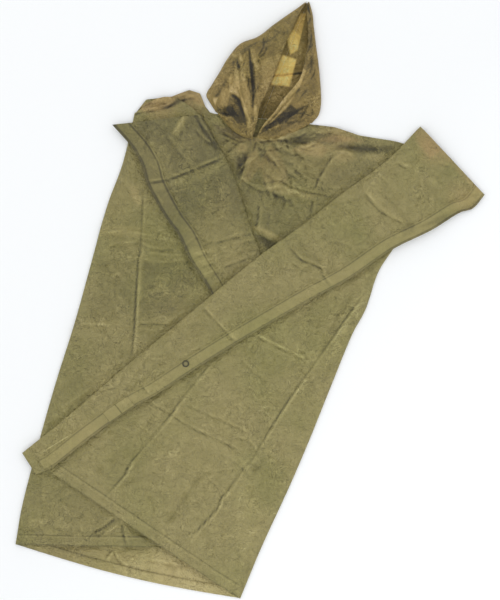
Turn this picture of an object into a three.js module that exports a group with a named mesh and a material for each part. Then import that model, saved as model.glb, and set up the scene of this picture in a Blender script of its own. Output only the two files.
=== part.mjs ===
// A rain poncho with a pointed hood, laid flat on its back. Both open sides are folded in over the
// front, and the outer strip of each side is folded out again. The right side lies over the left.
// Millimetres. +Z is up from the surface that the cloth rests on, +Y runs from the hem to the hood.
import * as THREE from "three";

// Cloth
const wall = 1.05;
const hoodWall = 1.2;
const seamGap = 0.3;
const layerPitch = wall + seamGap;

// Cut sizes
const clothLength = 1030;
const hemBandWidth = 20;
const leftBandWidth = 40;
const rightBandWidth = 30;
const tabLength = 32;
const tabInset = 3;
const stud = { x: -137, y: -133, across: 0.3, radius: 7.5, height: 2.4, bevel: 0.7 };
const casingWidth = 17;

// How finely the panels are divided
const panelRows = 22;
const hoodRows = 17;
const arcAngles = [-90, -30, 30, 90];
const hoodArcAngles = [-90, -45, 0, 45, 90];
const regionSteps = 14;

// A folded layer keeps its full height this far past what it lies on, and is down on the floor at the end
const supportFull = 45;
const supportEnd = 130;
// Soft folds start this far from a layer that lies over them, and are whole after the rise
const reliefClear = 12;
const reliefRise = 70;

// Fold lines and free edges as they lie, from the hem up to the shoulder
const leftEdgePoints = [
  { x: -154, y: -533 },
  { x: -133, y: -439 },
  { x: -101, y: -321 },
  { x: -76, y: -171 },
  { x: -71, y: -54 },
  { x: -83, y: 12 },
  { x: -131, y: 92 },
  { x: -154, y: 141 },
  { x: -184, y: 182 },
  { x: -220, y: 250 },
  { x: -231, y: 289 },
  { x: -253, y: 327 },
  { x: -293, y: 373 },
];
const leftTurnPoints = [
  { x: -107, y: -531 },
  { x: -81, y: -428 },
  { x: -43, y: -300 },
  { x: 0, y: -128 },
  { x: 26, y: 0 },
  { x: 23, y: 98 },
  { x: 6, y: 143 },
  { x: -28, y: 250 },
  { x: -51, y: 302 },
  { x: -103, y: 396 },
];
const leftSidePoints = [
  { x: -501, y: -523 },
  { x: -486, y: -437 },
  { x: -448, y: -293 },
  { x: -413, y: -171 },
  { x: -375, y: -51 },
  { x: -339, y: 79 },
  { x: -305, y: 201 },
  { x: -272, y: 291 },
  { x: -246, y: 400 },
];
const rightSidePoints = [
  { x: -20, y: -639 },
  { x: 24, y: -533 },
  { x: 86, y: -398 },
  { x: 128, y: -300 },
  { x: 177, y: -178 },
  { x: 220, y: -73 },
  { x: 248, y: -21 },
  { x: 275, y: 58 },
  { x: 305, y: 105 },
  { x: 325, y: 133 },
  { x: 385, y: 321 },
];
const rightTurnPoints = [
  { x: -486, y: -327 },
  { x: -411, y: -267 },
  { x: -328, y: -196 },
  { x: -252, y: -131 },
  { x: -162, y: -57 },
  { x: -48, y: 38 },
  { x: 26, y: 98 },
  { x: 107, y: 156 },
  { x: 197, y: 227 },
  { x: 293, y: 298 },
  { x: 364, y: 370 },
];
const rightEdgePoints = [
  { x: -456, y: -373 },
  { x: -420, y: -357 },
  { x: -339, y: -294 },
  { x: -247, y: -229 },
  { x: -197, y: -201 },
  { x: -107, y: -142 },
  { x: 2, y: -75 },
  { x: 131, y: 0 },
  { x: 215, y: 46 },
  { x: 306, y: 108 },
  { x: 389, y: 149 },
  { x: 449, y: 186 },
  { x: 477, y: 195 },
  { x: 502, y: 224 },
];

// The shoulder line between the folded sides: rise above a straight line, and how far the front's neck drops
const shoulderCut = [
  { share: 0, rise: 0, neckDrop: 0 },
  { share: 0.036, rise: 31, neckDrop: 0 },
  { share: 0.122, rise: 44, neckDrop: 0 },
  { share: 0.182, rise: 63, neckDrop: 0 },
  { share: 0.22, rise: 58, neckDrop: 0 },
  { share: 0.245, rise: 21, neckDrop: 0 },
  { share: 0.27, rise: 19, neckDrop: 0 },
  { share: 0.315, rise: 19.5, neckDrop: 27 },
  { share: 0.372, rise: 20.3, neckDrop: 40 },
  { share: 0.43, rise: 21, neckDrop: 42 },
  { share: 0.475, rise: 21.3, neckDrop: 37 },
  { share: 0.527, rise: 21.6, neckDrop: 23 },
  { share: 0.61, rise: 22, neckDrop: 0 },
  { share: 0.678, rise: 22, neckDrop: 0 },
  { share: 0.762, rise: 11, neckDrop: 0 },
  { share: 0.88, rise: 8, neckDrop: 0 },
  { share: 1, rise: 0, neckDrop: 0 },
];
const shoulderFadeStart = 0.74;
const leftWingRise = 36;
const hemBow = { depth: 12, fadeEnd: 0.25 };
const wingShares = { left: [0.2, 0.4, 0.6, 0.8], right: [0.17, 0.34, 0.5, 0.67, 0.84] };
const stripInnerShares = [0.33, 0.67];
const rightStripInnerShares = [0.25, 0.5, 0.75];

// Soft folds in the cloth: a ridge along a line, with its width and height and the zones that it shows in
const softFolds = [
  { zone: "leftWing", fromX: -322, fromY: 145, toX: -150, toY: 126, width: 42, height: 5 },
  { zone: "leftWing", fromX: -330, fromY: 98, toX: -140, toY: 88, width: 40, height: 4 },
  { zone: "leftWing", fromX: -250, fromY: 60, toX: -258, toY: -300, width: 60, height: 3 },
  { zone: "leftWing", fromX: -400, fromY: -60, toX: -260, toY: -90, width: 50, height: 3 },
  { zone: "leftWing", fromX: -460, fromY: -330, toX: -360, toY: -500, width: 60, height: 4 },
  { zone: "rightWing", fromX: 205, fromY: 0, toX: 110, toY: -190, width: 55, height: 5 },
  { zone: "rightWing", fromX: 90, fromY: -170, toX: 10, toY: -360, width: 60, height: 4 },
  { zone: "rightWing", fromX: -140, fromY: -250, toX: -30, toY: -350, width: 55, height: 4 },
  { zone: "rightWing", fromX: -180, fromY: -330, toX: -110, toY: -470, width: 50, height: 3 },
  { zone: "leftStrip", fromX: -215, fromY: 300, toX: -90, toY: 190, width: 45, height: 4 },
  { zone: "leftStrip", fromX: -150, fromY: 360, toX: -60, toY: 290, width: 40, height: 3 },
  { zone: "rightStrip", fromX: 400, fromY: 300, toX: 300, toY: 180, width: 50, height: 6 },
  { zone: "rightStrip", fromX: 150, fromY: 120, toX: 60, toY: 40, width: 45, height: 3 },
  { zone: "rightStrip", fromX: -120, fromY: -40, toX: -220, toY: -150, width: 50, height: 3 },
  { zone: "body", fromX: 60, fromY: 250, toX: 160, toY: 230, width: 45, height: 5 },
  { zone: "body", fromX: 180, fromY: 330, toX: 140, toY: 230, width: 45, height: 4 },
];

// Hood lines, from the neck up to the point. The back seam lies under the hood, against the floor.
const hoodSeamPoints = [
  { x: 25.3, y: 387.4 },
  { x: 123, y: 634 },
];
const hoodLeftSidePoints = [
  { x: -72, y: 400 },
  { x: -88, y: 425 },
  { x: -93, y: 438 },
  { x: -80, y: 461 },
  { x: -64, y: 487 },
  { x: -48, y: 514 },
  { x: -21, y: 546 },
  { x: 18, y: 562 },
  { x: 52, y: 588 },
  { x: 77, y: 606 },
  { x: 103, y: 624 },
  { x: 118, y: 636 },
];
const hoodLeftRimPoints = [
  { x: 5, y: 342 },
  { x: 16, y: 381 },
  { x: 22, y: 414 },
  { x: 35, y: 439 },
  { x: 49, y: 473 },
  { x: 62, y: 508 },
  { x: 73, y: 536 },
  { x: 86, y: 566 },
  { x: 104, y: 606 },
  { x: 122, y: 637 },
];
const hoodRightSidePoints = [
  { x: 133, y: 377 },
  { x: 148, y: 395 },
  { x: 153, y: 425 },
  { x: 150, y: 478 },
  { x: 147, y: 507 },
  { x: 142, y: 544 },
  { x: 137, y: 587 },
  { x: 135, y: 609 },
  { x: 128, y: 636 },
];
const hoodRightRimPoints = [
  { x: 12, y: 342 },
  { x: 30, y: 374 },
  { x: 53, y: 400 },
  { x: 70, y: 425 },
  { x: 106, y: 469 },
  { x: 117, y: 507 },
  { x: 124, y: 546 },
  { x: 124, y: 580 },
  { x: 122, y: 606 },
  { x: 124.4, y: 637 },
];
const hoodLeft = { outward: -1, edgeRadius: 7, crown: 9, rimLift: 13, pleats: 3, pleatDepth: 2.4 };
const hoodRight = { outward: 1, edgeRadius: 4.5, crown: 2, rimLift: 9, pleats: 1, pleatDepth: 0.8 };
const hoodUnderShares = [0, 0.3, 0.6];
const hoodOverCells = 10;
const neckBow = 12;
const neckFadeEnd = 0.22;
const largestRimSlope = 0.4;
const largestCasingShare = 0.5;

// Colours of the coated cloth
const outerOlive = "#8f8559";
const shadeOlive = "#736c44";
const bandOlive = "#958b60";
const hoodTan = "#957c4b";

const up = new THREE.Vector3(0, 0, 1);

function smooth(value) {
  return THREE.MathUtils.smoothstep(value, 0, 1);
}

// A line through points, read by the share of its length
function makeLine(points) {
  const reached = [0];
  for (let i = 1; i < points.length; i += 1) {
    const step = Math.hypot(points[i].x - points[i - 1].x, points[i].y - points[i - 1].y);
    reached.push(reached[i - 1] + step);
  }
  const length = reached[reached.length - 1];
  function at(share) {
    const distance = THREE.MathUtils.clamp(share, 0, 1) * length;
    let i = 1;
    while (i < points.length - 1 && reached[i] < distance) {
      i += 1;
    }
    const part = (distance - reached[i - 1]) / (reached[i] - reached[i - 1]);
    const before = new THREE.Vector2(points[i - 1].x, points[i - 1].y);
    return before.lerp(new THREE.Vector2(points[i].x, points[i].y), part);
  }
  // Unit vector square to the line, to the left of its way up or to the right
  function outward(share, side) {
    const span = 0.04;
    const along = at(share + span).sub(at(share - span)).normalize();
    return new THREE.Vector2(along.y * side, -along.x * side);
  }
  return { at, outward, length };
}

const lines = {
  leftEdge: makeLine(leftEdgePoints),
  leftTurn: makeLine(leftTurnPoints),
  leftSide: makeLine(leftSidePoints),
  rightSide: makeLine(rightSidePoints),
  rightTurn: makeLine(rightTurnPoints),
  rightEdge: makeLine(rightEdgePoints),
};

// The area between two lines, as a ring of points
function regionBetween(lineA, lineB) {
  const ring = [];
  for (let i = 0; i <= regionSteps; i += 1) {
    ring.push(lineA.at(i / regionSteps));
  }
  for (let i = regionSteps; i >= 0; i -= 1) {
    ring.push(lineB.at(i / regionSteps));
  }
  return ring;
}

const hoodLines = {
  seam: makeLine(hoodSeamPoints),
  leftSide: makeLine(hoodLeftSidePoints),
  leftRim: makeLine(hoodLeftRimPoints),
  rightSide: makeLine(hoodRightSidePoints),
  rightRim: makeLine(hoodRightRimPoints),
};

const regions = {
  body: regionBetween(lines.leftSide, lines.rightSide),
  leftWing: regionBetween(lines.leftSide, lines.leftTurn),
  leftStrip: regionBetween(lines.leftEdge, lines.leftTurn),
  rightWing: regionBetween(lines.rightSide, lines.rightTurn),
  rightStrip: regionBetween(lines.rightEdge, lines.rightTurn),
  hood: regionBetween(hoodLines.leftSide, hoodLines.rightSide),
};

// Distance from a place to a region, 0 inside it
function distanceOutside(ring, x, y) {
  let inside = false;
  let nearest = Infinity;
  for (let i = 0; i < ring.length; i += 1) {
    const a = ring[i];
    const b = ring[(i + 1) % ring.length];
    const dx = b.x - a.x;
    const dy = b.y - a.y;
    const lengthSquared = dx * dx + dy * dy || 1;
    const along = THREE.MathUtils.clamp(((x - a.x) * dx + (y - a.y) * dy) / lengthSquared, 0, 1);
    nearest = Math.min(nearest, Math.hypot(x - a.x - dx * along, y - a.y - dy * along));
    if (a.y > y !== b.y > y && x < a.x + ((y - a.y) / dy) * dx) {
      inside = !inside;
    }
  }
  return inside ? 0 : nearest;
}

// 1 on and close round a region, falling to 0 away from it
function cover(name, x, y) {
  const distance = distanceOutside(regions[name], x, y);
  return 1 - smooth((distance - supportFull) / (supportEnd - supportFull));
}

// How many layers of cloth a zone lies on. The left strip counts its band too.
const layersBelow = {
  body: () => 0,
  leftWing: (x, y) => 2 * cover("body", x, y),
  leftStrip: (x, y) => layersBelow.leftWing(x, y) + 2 * cover("leftWing", x, y),
  rightWing: (x, y) => layersBelow.leftStrip(x, y) + 3 * cover("leftStrip", x, y),
  rightStrip: (x, y) => layersBelow.rightWing(x, y) + 2 * cover("rightWing", x, y),
};
const zonesAbove = {
  body: ["leftWing", "leftStrip", "rightWing", "rightStrip", "hood"],
  leftWing: ["leftStrip", "rightWing", "rightStrip"],
  leftStrip: ["rightWing", "rightStrip"],
  rightWing: ["rightStrip"],
  rightStrip: [],
};

function reliefAt(zone, x, y) {
  let height = 0;
  for (const fold of softFolds.filter((row) => row.zone === zone)) {
    const dx = fold.toX - fold.fromX;
    const dy = fold.toY - fold.fromY;
    const along = ((x - fold.fromX) * dx + (y - fold.fromY) * dy) / (dx * dx + dy * dy);
    const kept = THREE.MathUtils.clamp(along, 0.15, 0.85);
    const away = Math.hypot(x - fold.fromX - dx * kept, y - fold.fromY - dy * kept);
    height += fold.height * (1 - smooth(away / fold.width));
  }
  for (const name of zonesAbove[zone]) {
    height *= smooth((distanceOutside(regions[name], x, y) - reliefClear) / reliefRise);
  }
  return height;
}

// Middle of the wall of the lower (0) or upper (1) layer of a zone
function heightAt(zone, order, x, y) {
  const relief = zone === "body" && order === 0 ? 0 : reliefAt(zone, x, y);
  return wall / 2 + layerPitch * (layersBelow[zone](x, y) + order) + relief;
}

// The front and the back lie on each other in each zone: which is lower changes at each fold
const orders = {
  back: { body: 0, wing: 1, strip: 0 },
  front: { body: 1, wing: 0, strip: 1 },
};

function shoulderValue(share, column) {
  let i = 1;
  while (i < shoulderCut.length - 1 && shoulderCut[i].share < share) {
    i += 1;
  }
  const before = shoulderCut[i - 1];
  const after = shoulderCut[i];
  return THREE.MathUtils.mapLinear(share, before.share, after.share, before[column], after[column]);
}

// Place on the body between its two folded sides
function bodyPlace(left, right, share, length, isFront) {
  const place = left.clone().lerp(right, share);
  const nearTop = smooth((length - shoulderFadeStart) / (1 - shoulderFadeStart));
  const drop = isFront ? shoulderValue(share, "neckDrop") : 0;
  place.y += (shoulderValue(share, "rise") - drop) * nearTop;
  const nearHem = Math.max(0, 1 - length / hemBow.fadeEnd);
  place.y -= hemBow.depth * Math.sin(Math.PI * share) * nearHem * nearHem;
  return place;
}

// Where the flat cloth ends beside a fold, so that the fold's outside lies on its line
function foldPlace(line, side, length, lowerZone, upperZone) {
  const edge = line.at(length);
  const outward = line.outward(length, side);
  const rise = heightAt(upperZone, 1, edge.x, edge.y) - heightAt(lowerZone, 0, edge.x, edge.y);
  return { place: edge.addScaledVector(outward, -(rise + wall) / 2), outward, lowerZone, upperZone };
}

// Round the fold from its lower zone to its upper one. face points to the side that was up in the body.
function foldArc(fold, lowerOrder, upperOrder, faceSign) {
  const { place, outward } = fold;
  const low = heightAt(fold.lowerZone, lowerOrder, place.x, place.y);
  const high = heightAt(fold.upperZone, upperOrder, place.x, place.y);
  const radius = (high - low) / 2;
  return arcAngles.map((degrees) => {
    const angle = THREE.MathUtils.degToRad(degrees);
    const direction = new THREE.Vector3(outward.x, outward.y, 0).multiplyScalar(Math.cos(angle));
    direction.z = Math.sin(angle);
    const mid = new THREE.Vector3(place.x, place.y, (low + high) / 2).addScaledVector(direction, radius);
    return { mid, face: direction.multiplyScalar(faceSign) };
  });
}

function flatPoint(zone, order, place, faceSign) {
  const mid = new THREE.Vector3(place.x, place.y, heightAt(zone, order, place.x, place.y));
  return { mid, face: up.clone().multiplyScalar(faceSign) };
}

function bandShare(width, stripWidth) {
  return Math.min(0.8, width / stripWidth);
}

// One section across a panel at a share of its length, from the left free edge to the right one
function panelSection(panel, length) {
  const order = orders[panel];
  const isFront = panel === "front";
  const leftTurn = foldPlace(lines.leftTurn, 1, length, "leftWing", "leftStrip");
  const leftSide = foldPlace(lines.leftSide, -1, length, "body", "leftWing");
  const rightSide = foldPlace(lines.rightSide, 1, length, "body", "rightWing");
  const rightTurn = foldPlace(lines.rightTurn, -1, length, "rightWing", "rightStrip");
  const section = [];

  const leftEdge = lines.leftEdge.at(length);
  const leftWidth = leftEdge.distanceTo(leftTurn.place);
  const leftBand = bandShare(leftBandWidth, leftWidth);
  const leftShares = [0, leftBand, ...stripInnerShares.map((s) => leftBand + (1 - leftBand) * s)];
  for (const share of leftShares) {
    section.push(flatPoint("leftStrip", order.strip, leftEdge.clone().lerp(leftTurn.place, share), 1));
  }
  section.push(...foldArc(leftTurn, order.wing, order.strip, 1).reverse());
  for (const share of wingShares.left.toReversed()) {
    const place = leftSide.place.clone().lerp(leftTurn.place, share);
    const nearTop = smooth((length - shoulderFadeStart) / (1 - shoulderFadeStart));
    place.y += leftWingRise * Math.sin(Math.PI * share) * nearTop;
    section.push(flatPoint("leftWing", order.wing, place, -1));
  }
  section.push(...foldArc(leftSide, order.body, order.wing, -1).reverse());
  for (const row of shoulderCut.slice(1, -1)) {
    const place = bodyPlace(leftSide.place, rightSide.place, row.share, length, isFront);
    section.push(flatPoint("body", order.body, place, 1));
  }
  section.push(...foldArc(rightSide, order.body, order.wing, -1));
  for (const share of wingShares.right) {
    const place = rightSide.place.clone().lerp(rightTurn.place, share);
    section.push(flatPoint("rightWing", order.wing, place, -1));
  }
  section.push(...foldArc(rightTurn, order.wing, order.strip, 1));
  const rightEdge = lines.rightEdge.at(length);
  const rightBand = bandShare(rightBandWidth, rightEdge.distanceTo(rightTurn.place));
  const rightShares = [...rightStripInnerShares.map((s) => (1 - rightBand) * s), 1 - rightBand, 1];
  for (const share of rightShares) {
    section.push(flatPoint("rightStrip", order.strip, rightTurn.place.clone().lerp(rightEdge, share), 1));
  }
  return section;
}

// Shares of the length from one row to another
function rowShares(from, to, count) {
  return Array.from({ length: count + 1 }, (_, i) => THREE.MathUtils.lerp(from, to, i / count));
}

// A closed wall from rows of points, each with the middle of the wall and the way its face looks
function wallGeometry(rows, thickness) {
  const columns = rows[0].length;
  const positions = [];
  for (const sign of [0.5, -0.5]) {
    for (const row of rows) {
      for (const { mid, face } of row) {
        positions.push(...mid.clone().addScaledVector(face, sign * thickness).toArray());
      }
    }
  }
  const back = rows.length * columns;
  const index = [];
  const quad = (a, b, c, d) => index.push(a, b, c, a, c, d);
  for (let i = 0; i < rows.length - 1; i += 1) {
    for (let j = 0; j < columns - 1; j += 1) {
      const a = i * columns + j;
      const b = a + 1;
      const c = b + columns;
      const d = a + columns;
      quad(a, b, c, d);
      quad(back + a, back + d, back + c, back + b);
    }
  }
  const lastRow = (rows.length - 1) * columns;
  for (let j = 0; j < columns - 1; j += 1) {
    quad(back + j, back + j + 1, j + 1, j);
    quad(lastRow + j, lastRow + j + 1, back + lastRow + j + 1, back + lastRow + j);
  }
  for (let i = 0; i < rows.length - 1; i += 1) {
    const left = i * columns;
    const right = left + columns - 1;
    quad(left, left + columns, back + left + columns, back + left);
    quad(back + right, back + right + columns, right + columns, right);
  }
  const geometry = new THREE.BufferGeometry();
  geometry.setAttribute("position", new THREE.Float32BufferAttribute(positions, 3));
  geometry.setIndex(index);
  geometry.computeVertexNormals();
  return geometry;
}

// Part of a wall, moved out along its face by whole layers
function movedOut(rows, firstColumn, lastColumn, distance) {
  return rows.map((row) =>
    row.slice(firstColumn, lastColumn + 1).map(({ mid, face }) => ({
      mid: mid.clone().addScaledVector(face, distance),
      face,
    })),
  );
}

function clothMesh(name, geometry, colour, roughness = 0.45) {
  const material = new THREE.MeshStandardMaterial({ color: colour, roughness, metalness: 0 });
  const mesh = new THREE.Mesh(geometry, material);
  mesh.name = name;
  return mesh;
}

const poncho = new THREE.Group();

// Front and back panels, and the back's hem band, which shows below the front's hem
const frontStart = (hemBandWidth + seamGap) / clothLength;
const frontLengths = rowShares(frontStart, 1, panelRows);
const backRows = [0, ...frontLengths].map((length) => panelSection("back", length));
const frontRows = frontLengths.map((length) => panelSection("front", length));
const hemRows = [0, hemBandWidth / clothLength].map((length) => panelSection("front", length));
poncho.add(clothMesh("back", wallGeometry(backRows, wall), outerOlive));
poncho.add(clothMesh("front", wallGeometry(frontRows, wall), shadeOlive));
poncho.add(clothMesh("back_hem", wallGeometry(hemRows, wall), bandOlive));

// Welded bands along the open sides, on the upturned strips
const lastColumn = frontRows[0].length - 1;
const leftBandRows = movedOut(frontRows, 0, 1, layerPitch);
const rightBandRows = movedOut(frontRows, lastColumn - 1, lastColumn, layerPitch);
poncho.add(clothMesh("side_band_left", wallGeometry(leftBandRows, wall), shadeOlive));
poncho.add(clothMesh("side_band_right", wallGeometry(rightBandRows, wall), bandOlive));

// A point on a two-column band: down is a place between its rows, across is a share of its width
function onBand(rows, down, across) {
  const i = Math.min(rows.length - 2, Math.floor(down));
  const part = down - i;
  const inner = rows[i][0].mid.clone().lerp(rows[i + 1][0].mid, part);
  const outer = rows[i][1].mid.clone().lerp(rows[i + 1][1].mid, part);
  return inner.lerp(outer, across);
}

// Row number on the right band nearest to a place
function rowNear(rows, x, y) {
  const steps = 20;
  let best = { down: 0, away: Infinity };
  for (let k = 0; k <= (rows.length - 1) * steps; k += 1) {
    const point = onBand(rows, k / steps, 0.5);
    const away = Math.hypot(point.x - x, point.y - y);
    if (away < best.away) {
      best = { down: k / steps, away };
    }
  }
  return best.down;
}

// Two square tabs side by side on the right band, and the press stud's cap
const tabSeam = { x: -266, y: -223 };
const seatSlack = 0.1;
const rowLength = lines.rightEdge.length / panelRows;
const tabSeamRow = rowNear(rightBandRows, tabSeam.x, tabSeam.y);
const tabSpans = [
  [-(tabLength + seamGap) / rowLength, -seamGap / rowLength],
  [seamGap / rowLength, (tabLength + seamGap) / rowLength],
];
tabSpans.forEach((span, number) => {
  const rows = span.map((offset) =>
    [tabInset / rightBandWidth, 1 - tabInset / rightBandWidth].map((across) => {
      const mid = onBand(rightBandRows, tabSeamRow + offset, across);
      mid.z += layerPitch + seatSlack;
      return { mid, face: up.clone() };
    }),
  );
  poncho.add(clothMesh(`snap_tab_${number + 1}`, wallGeometry(rows, wall), bandOlive));
});

function studCap() {
  const seat = onBand(rightBandRows, rowNear(rightBandRows, stud.x, stud.y), stud.across);
  const bottom = seat.z + wall / 2 + seamGap + seatSlack;
  const profile = [
    new THREE.Vector2(0, 0),
    new THREE.Vector2(stud.radius, 0),
    new THREE.Vector2(stud.radius, stud.height - stud.bevel),
    new THREE.Vector2(stud.radius - stud.bevel, stud.height),
    new THREE.Vector2(0, stud.height),
  ];
  const mesh = clothMesh("snap_cap", new THREE.LatheGeometry(profile, 24), outerOlive, 0.3);
  mesh.rotation.x = Math.PI / 2;
  mesh.position.set(seat.x, seat.y, bottom);
  return mesh;
}
poncho.add(studCap());

// Each half of the hood runs from the seam underneath, round its side, and back over to its rim
function hoodSection(half, lineSet, length) {
  const seam = lineSet.seam.at(length);
  const side = lineSet.side.at(length);
  const rim = lineSet.rim.at(length);
  seam.x += (half.outward * seamGap) / 2;
  const swell = Math.sqrt(Math.sin(Math.PI * length));
  const radius = layerPitch + half.edgeRadius * swell;
  const outward = lineSet.side.outward(length, half.outward);
  outward.set(half.outward * Math.abs(outward.x), outward.y).normalize();
  const turn = side.clone().addScaledVector(outward, -(radius + hoodWall / 2));
  const floorHeight = hoodWall / 2;
  const points = hoodUnderShares.map((share) => {
    const place = seam.clone().lerp(turn, share);
    return new THREE.Vector3(place.x, place.y, floorHeight);
  });
  for (const degrees of hoodArcAngles) {
    const angle = THREE.MathUtils.degToRad(degrees);
    const reach = turn.clone().addScaledVector(outward, radius * Math.cos(angle));
    points.push(new THREE.Vector3(reach.x, reach.y, floorHeight + radius * (1 + Math.sin(angle))));
  }
  const width = turn.distanceTo(rim);
  const casingShare = Math.min(largestCasingShare, casingWidth / width);
  const lift = Math.min(half.rimLift * swell, largestRimSlope * width);
  const neckNear = Math.max(0, 1 - length / neckFadeEnd) ** 2;
  for (let k = 1; k <= hoodOverCells; k += 1) {
    const share = k === hoodOverCells ? 1 : (k / (hoodOverCells - 1)) * (1 - casingShare);
    const place = turn.clone().lerp(rim, share);
    const bow = Math.sin(Math.PI * share);
    place.y -= neckBow * bow * neckNear;
    const pleat = half.pleatDepth * Math.sin(2 * Math.PI * half.pleats * share) * bow * swell;
    const fade = smooth(1.6 - 2 * length);
    const height = lift * share + Math.min(half.crown, 0.1 * width) * swell * bow + pleat * fade;
    points.push(new THREE.Vector3(place.x, place.y, floorHeight + 2 * radius + height));
  }
  return points;
}

// Gives each point of a grid its way out, square to the grid
function withFaces(grid, sign) {
  const clampIndex = (i, last) => THREE.MathUtils.clamp(i, 0, last);
  return grid.map((row, i) =>
    row.map((mid, j) => {
      const before = grid[clampIndex(i - 1, grid.length - 1)][j];
      const after = grid[clampIndex(i + 1, grid.length - 1)][j];
      const left = row[clampIndex(j - 1, row.length - 1)];
      const right = row[clampIndex(j + 1, row.length - 1)];
      const across = right.clone().sub(left);
      const face = across.cross(after.clone().sub(before)).normalize().multiplyScalar(sign);
      return { mid, face };
    }),
  );
}

function addHoodHalf(name, half, lineSet) {
  const sections = rowShares(0, 1, hoodRows).map((length) => hoodSection(half, lineSet, length));
  // On both halves the columns run so that the wall's faces look out of the hood
  const ordered = half.outward < 0 ? sections : sections.map((row) => row.toReversed());
  const rows = withFaces(ordered, -1).map((row) => row.toReversed());
  poncho.add(clothMesh(`hood_${name}`, wallGeometry(rows, hoodWall), hoodTan));
  const lastPoint = rows[0].length - 1;
  const [first, last] = half.outward < 0 ? [0, 1] : [lastPoint - 1, lastPoint];
  const casingRows = movedOut(rows, first, last, (hoodWall + wall) / 2 + seamGap).slice(1, -2);
  poncho.add(clothMesh(`hood_casing_${name}`, wallGeometry(casingRows, wall), hoodTan));
}
addHoodHalf("left", hoodLeft, {
  seam: hoodLines.seam,
  side: hoodLines.leftSide,
  rim: hoodLines.leftRim,
});
addHoodHalf("right", hoodRight, {
  seam: hoodLines.seam,
  side: hoodLines.rightSide,
  rim: hoodLines.rightRim,
});

// The origin is the middle of the poncho's box, on the surface that it rests on
const box = new THREE.Box3().setFromObject(poncho, true);
const centre = box.getCenter(new THREE.Vector3());
poncho.position.set(-centre.x, -centre.y, -box.min.z);
poncho.updateMatrixWorld(true);

export default poncho;
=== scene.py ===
# A rain poncho of olive vinyl film, laid flat, both open sides folded in over the front and out again.
import bpy
import math
import numpy as np
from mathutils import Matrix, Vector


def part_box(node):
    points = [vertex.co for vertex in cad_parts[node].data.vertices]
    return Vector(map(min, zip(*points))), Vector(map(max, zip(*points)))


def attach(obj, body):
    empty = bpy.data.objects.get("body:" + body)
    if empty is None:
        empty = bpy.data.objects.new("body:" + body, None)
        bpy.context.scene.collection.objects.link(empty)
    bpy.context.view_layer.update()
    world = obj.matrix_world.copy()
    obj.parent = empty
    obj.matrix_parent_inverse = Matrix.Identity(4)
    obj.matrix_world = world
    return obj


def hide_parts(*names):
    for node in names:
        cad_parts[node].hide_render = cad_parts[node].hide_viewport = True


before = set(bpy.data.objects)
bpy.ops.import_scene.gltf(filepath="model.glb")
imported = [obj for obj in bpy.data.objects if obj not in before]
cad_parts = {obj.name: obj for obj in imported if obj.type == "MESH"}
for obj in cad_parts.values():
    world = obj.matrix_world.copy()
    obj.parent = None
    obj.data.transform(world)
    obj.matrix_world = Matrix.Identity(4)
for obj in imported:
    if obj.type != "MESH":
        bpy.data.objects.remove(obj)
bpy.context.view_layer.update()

# The frame's origin is the middle of the whole box, so the plan below moves by this much
planShift = np.array([-0.00067, 0.00075])

cloth = {"film": 0.0005, "hoodFilm": 0.0006, "wall": 0.00105, "pitch": 0.00135, "length": 1.03}
cut = {"hemBand": 0.020, "casing": 0.017}

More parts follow.
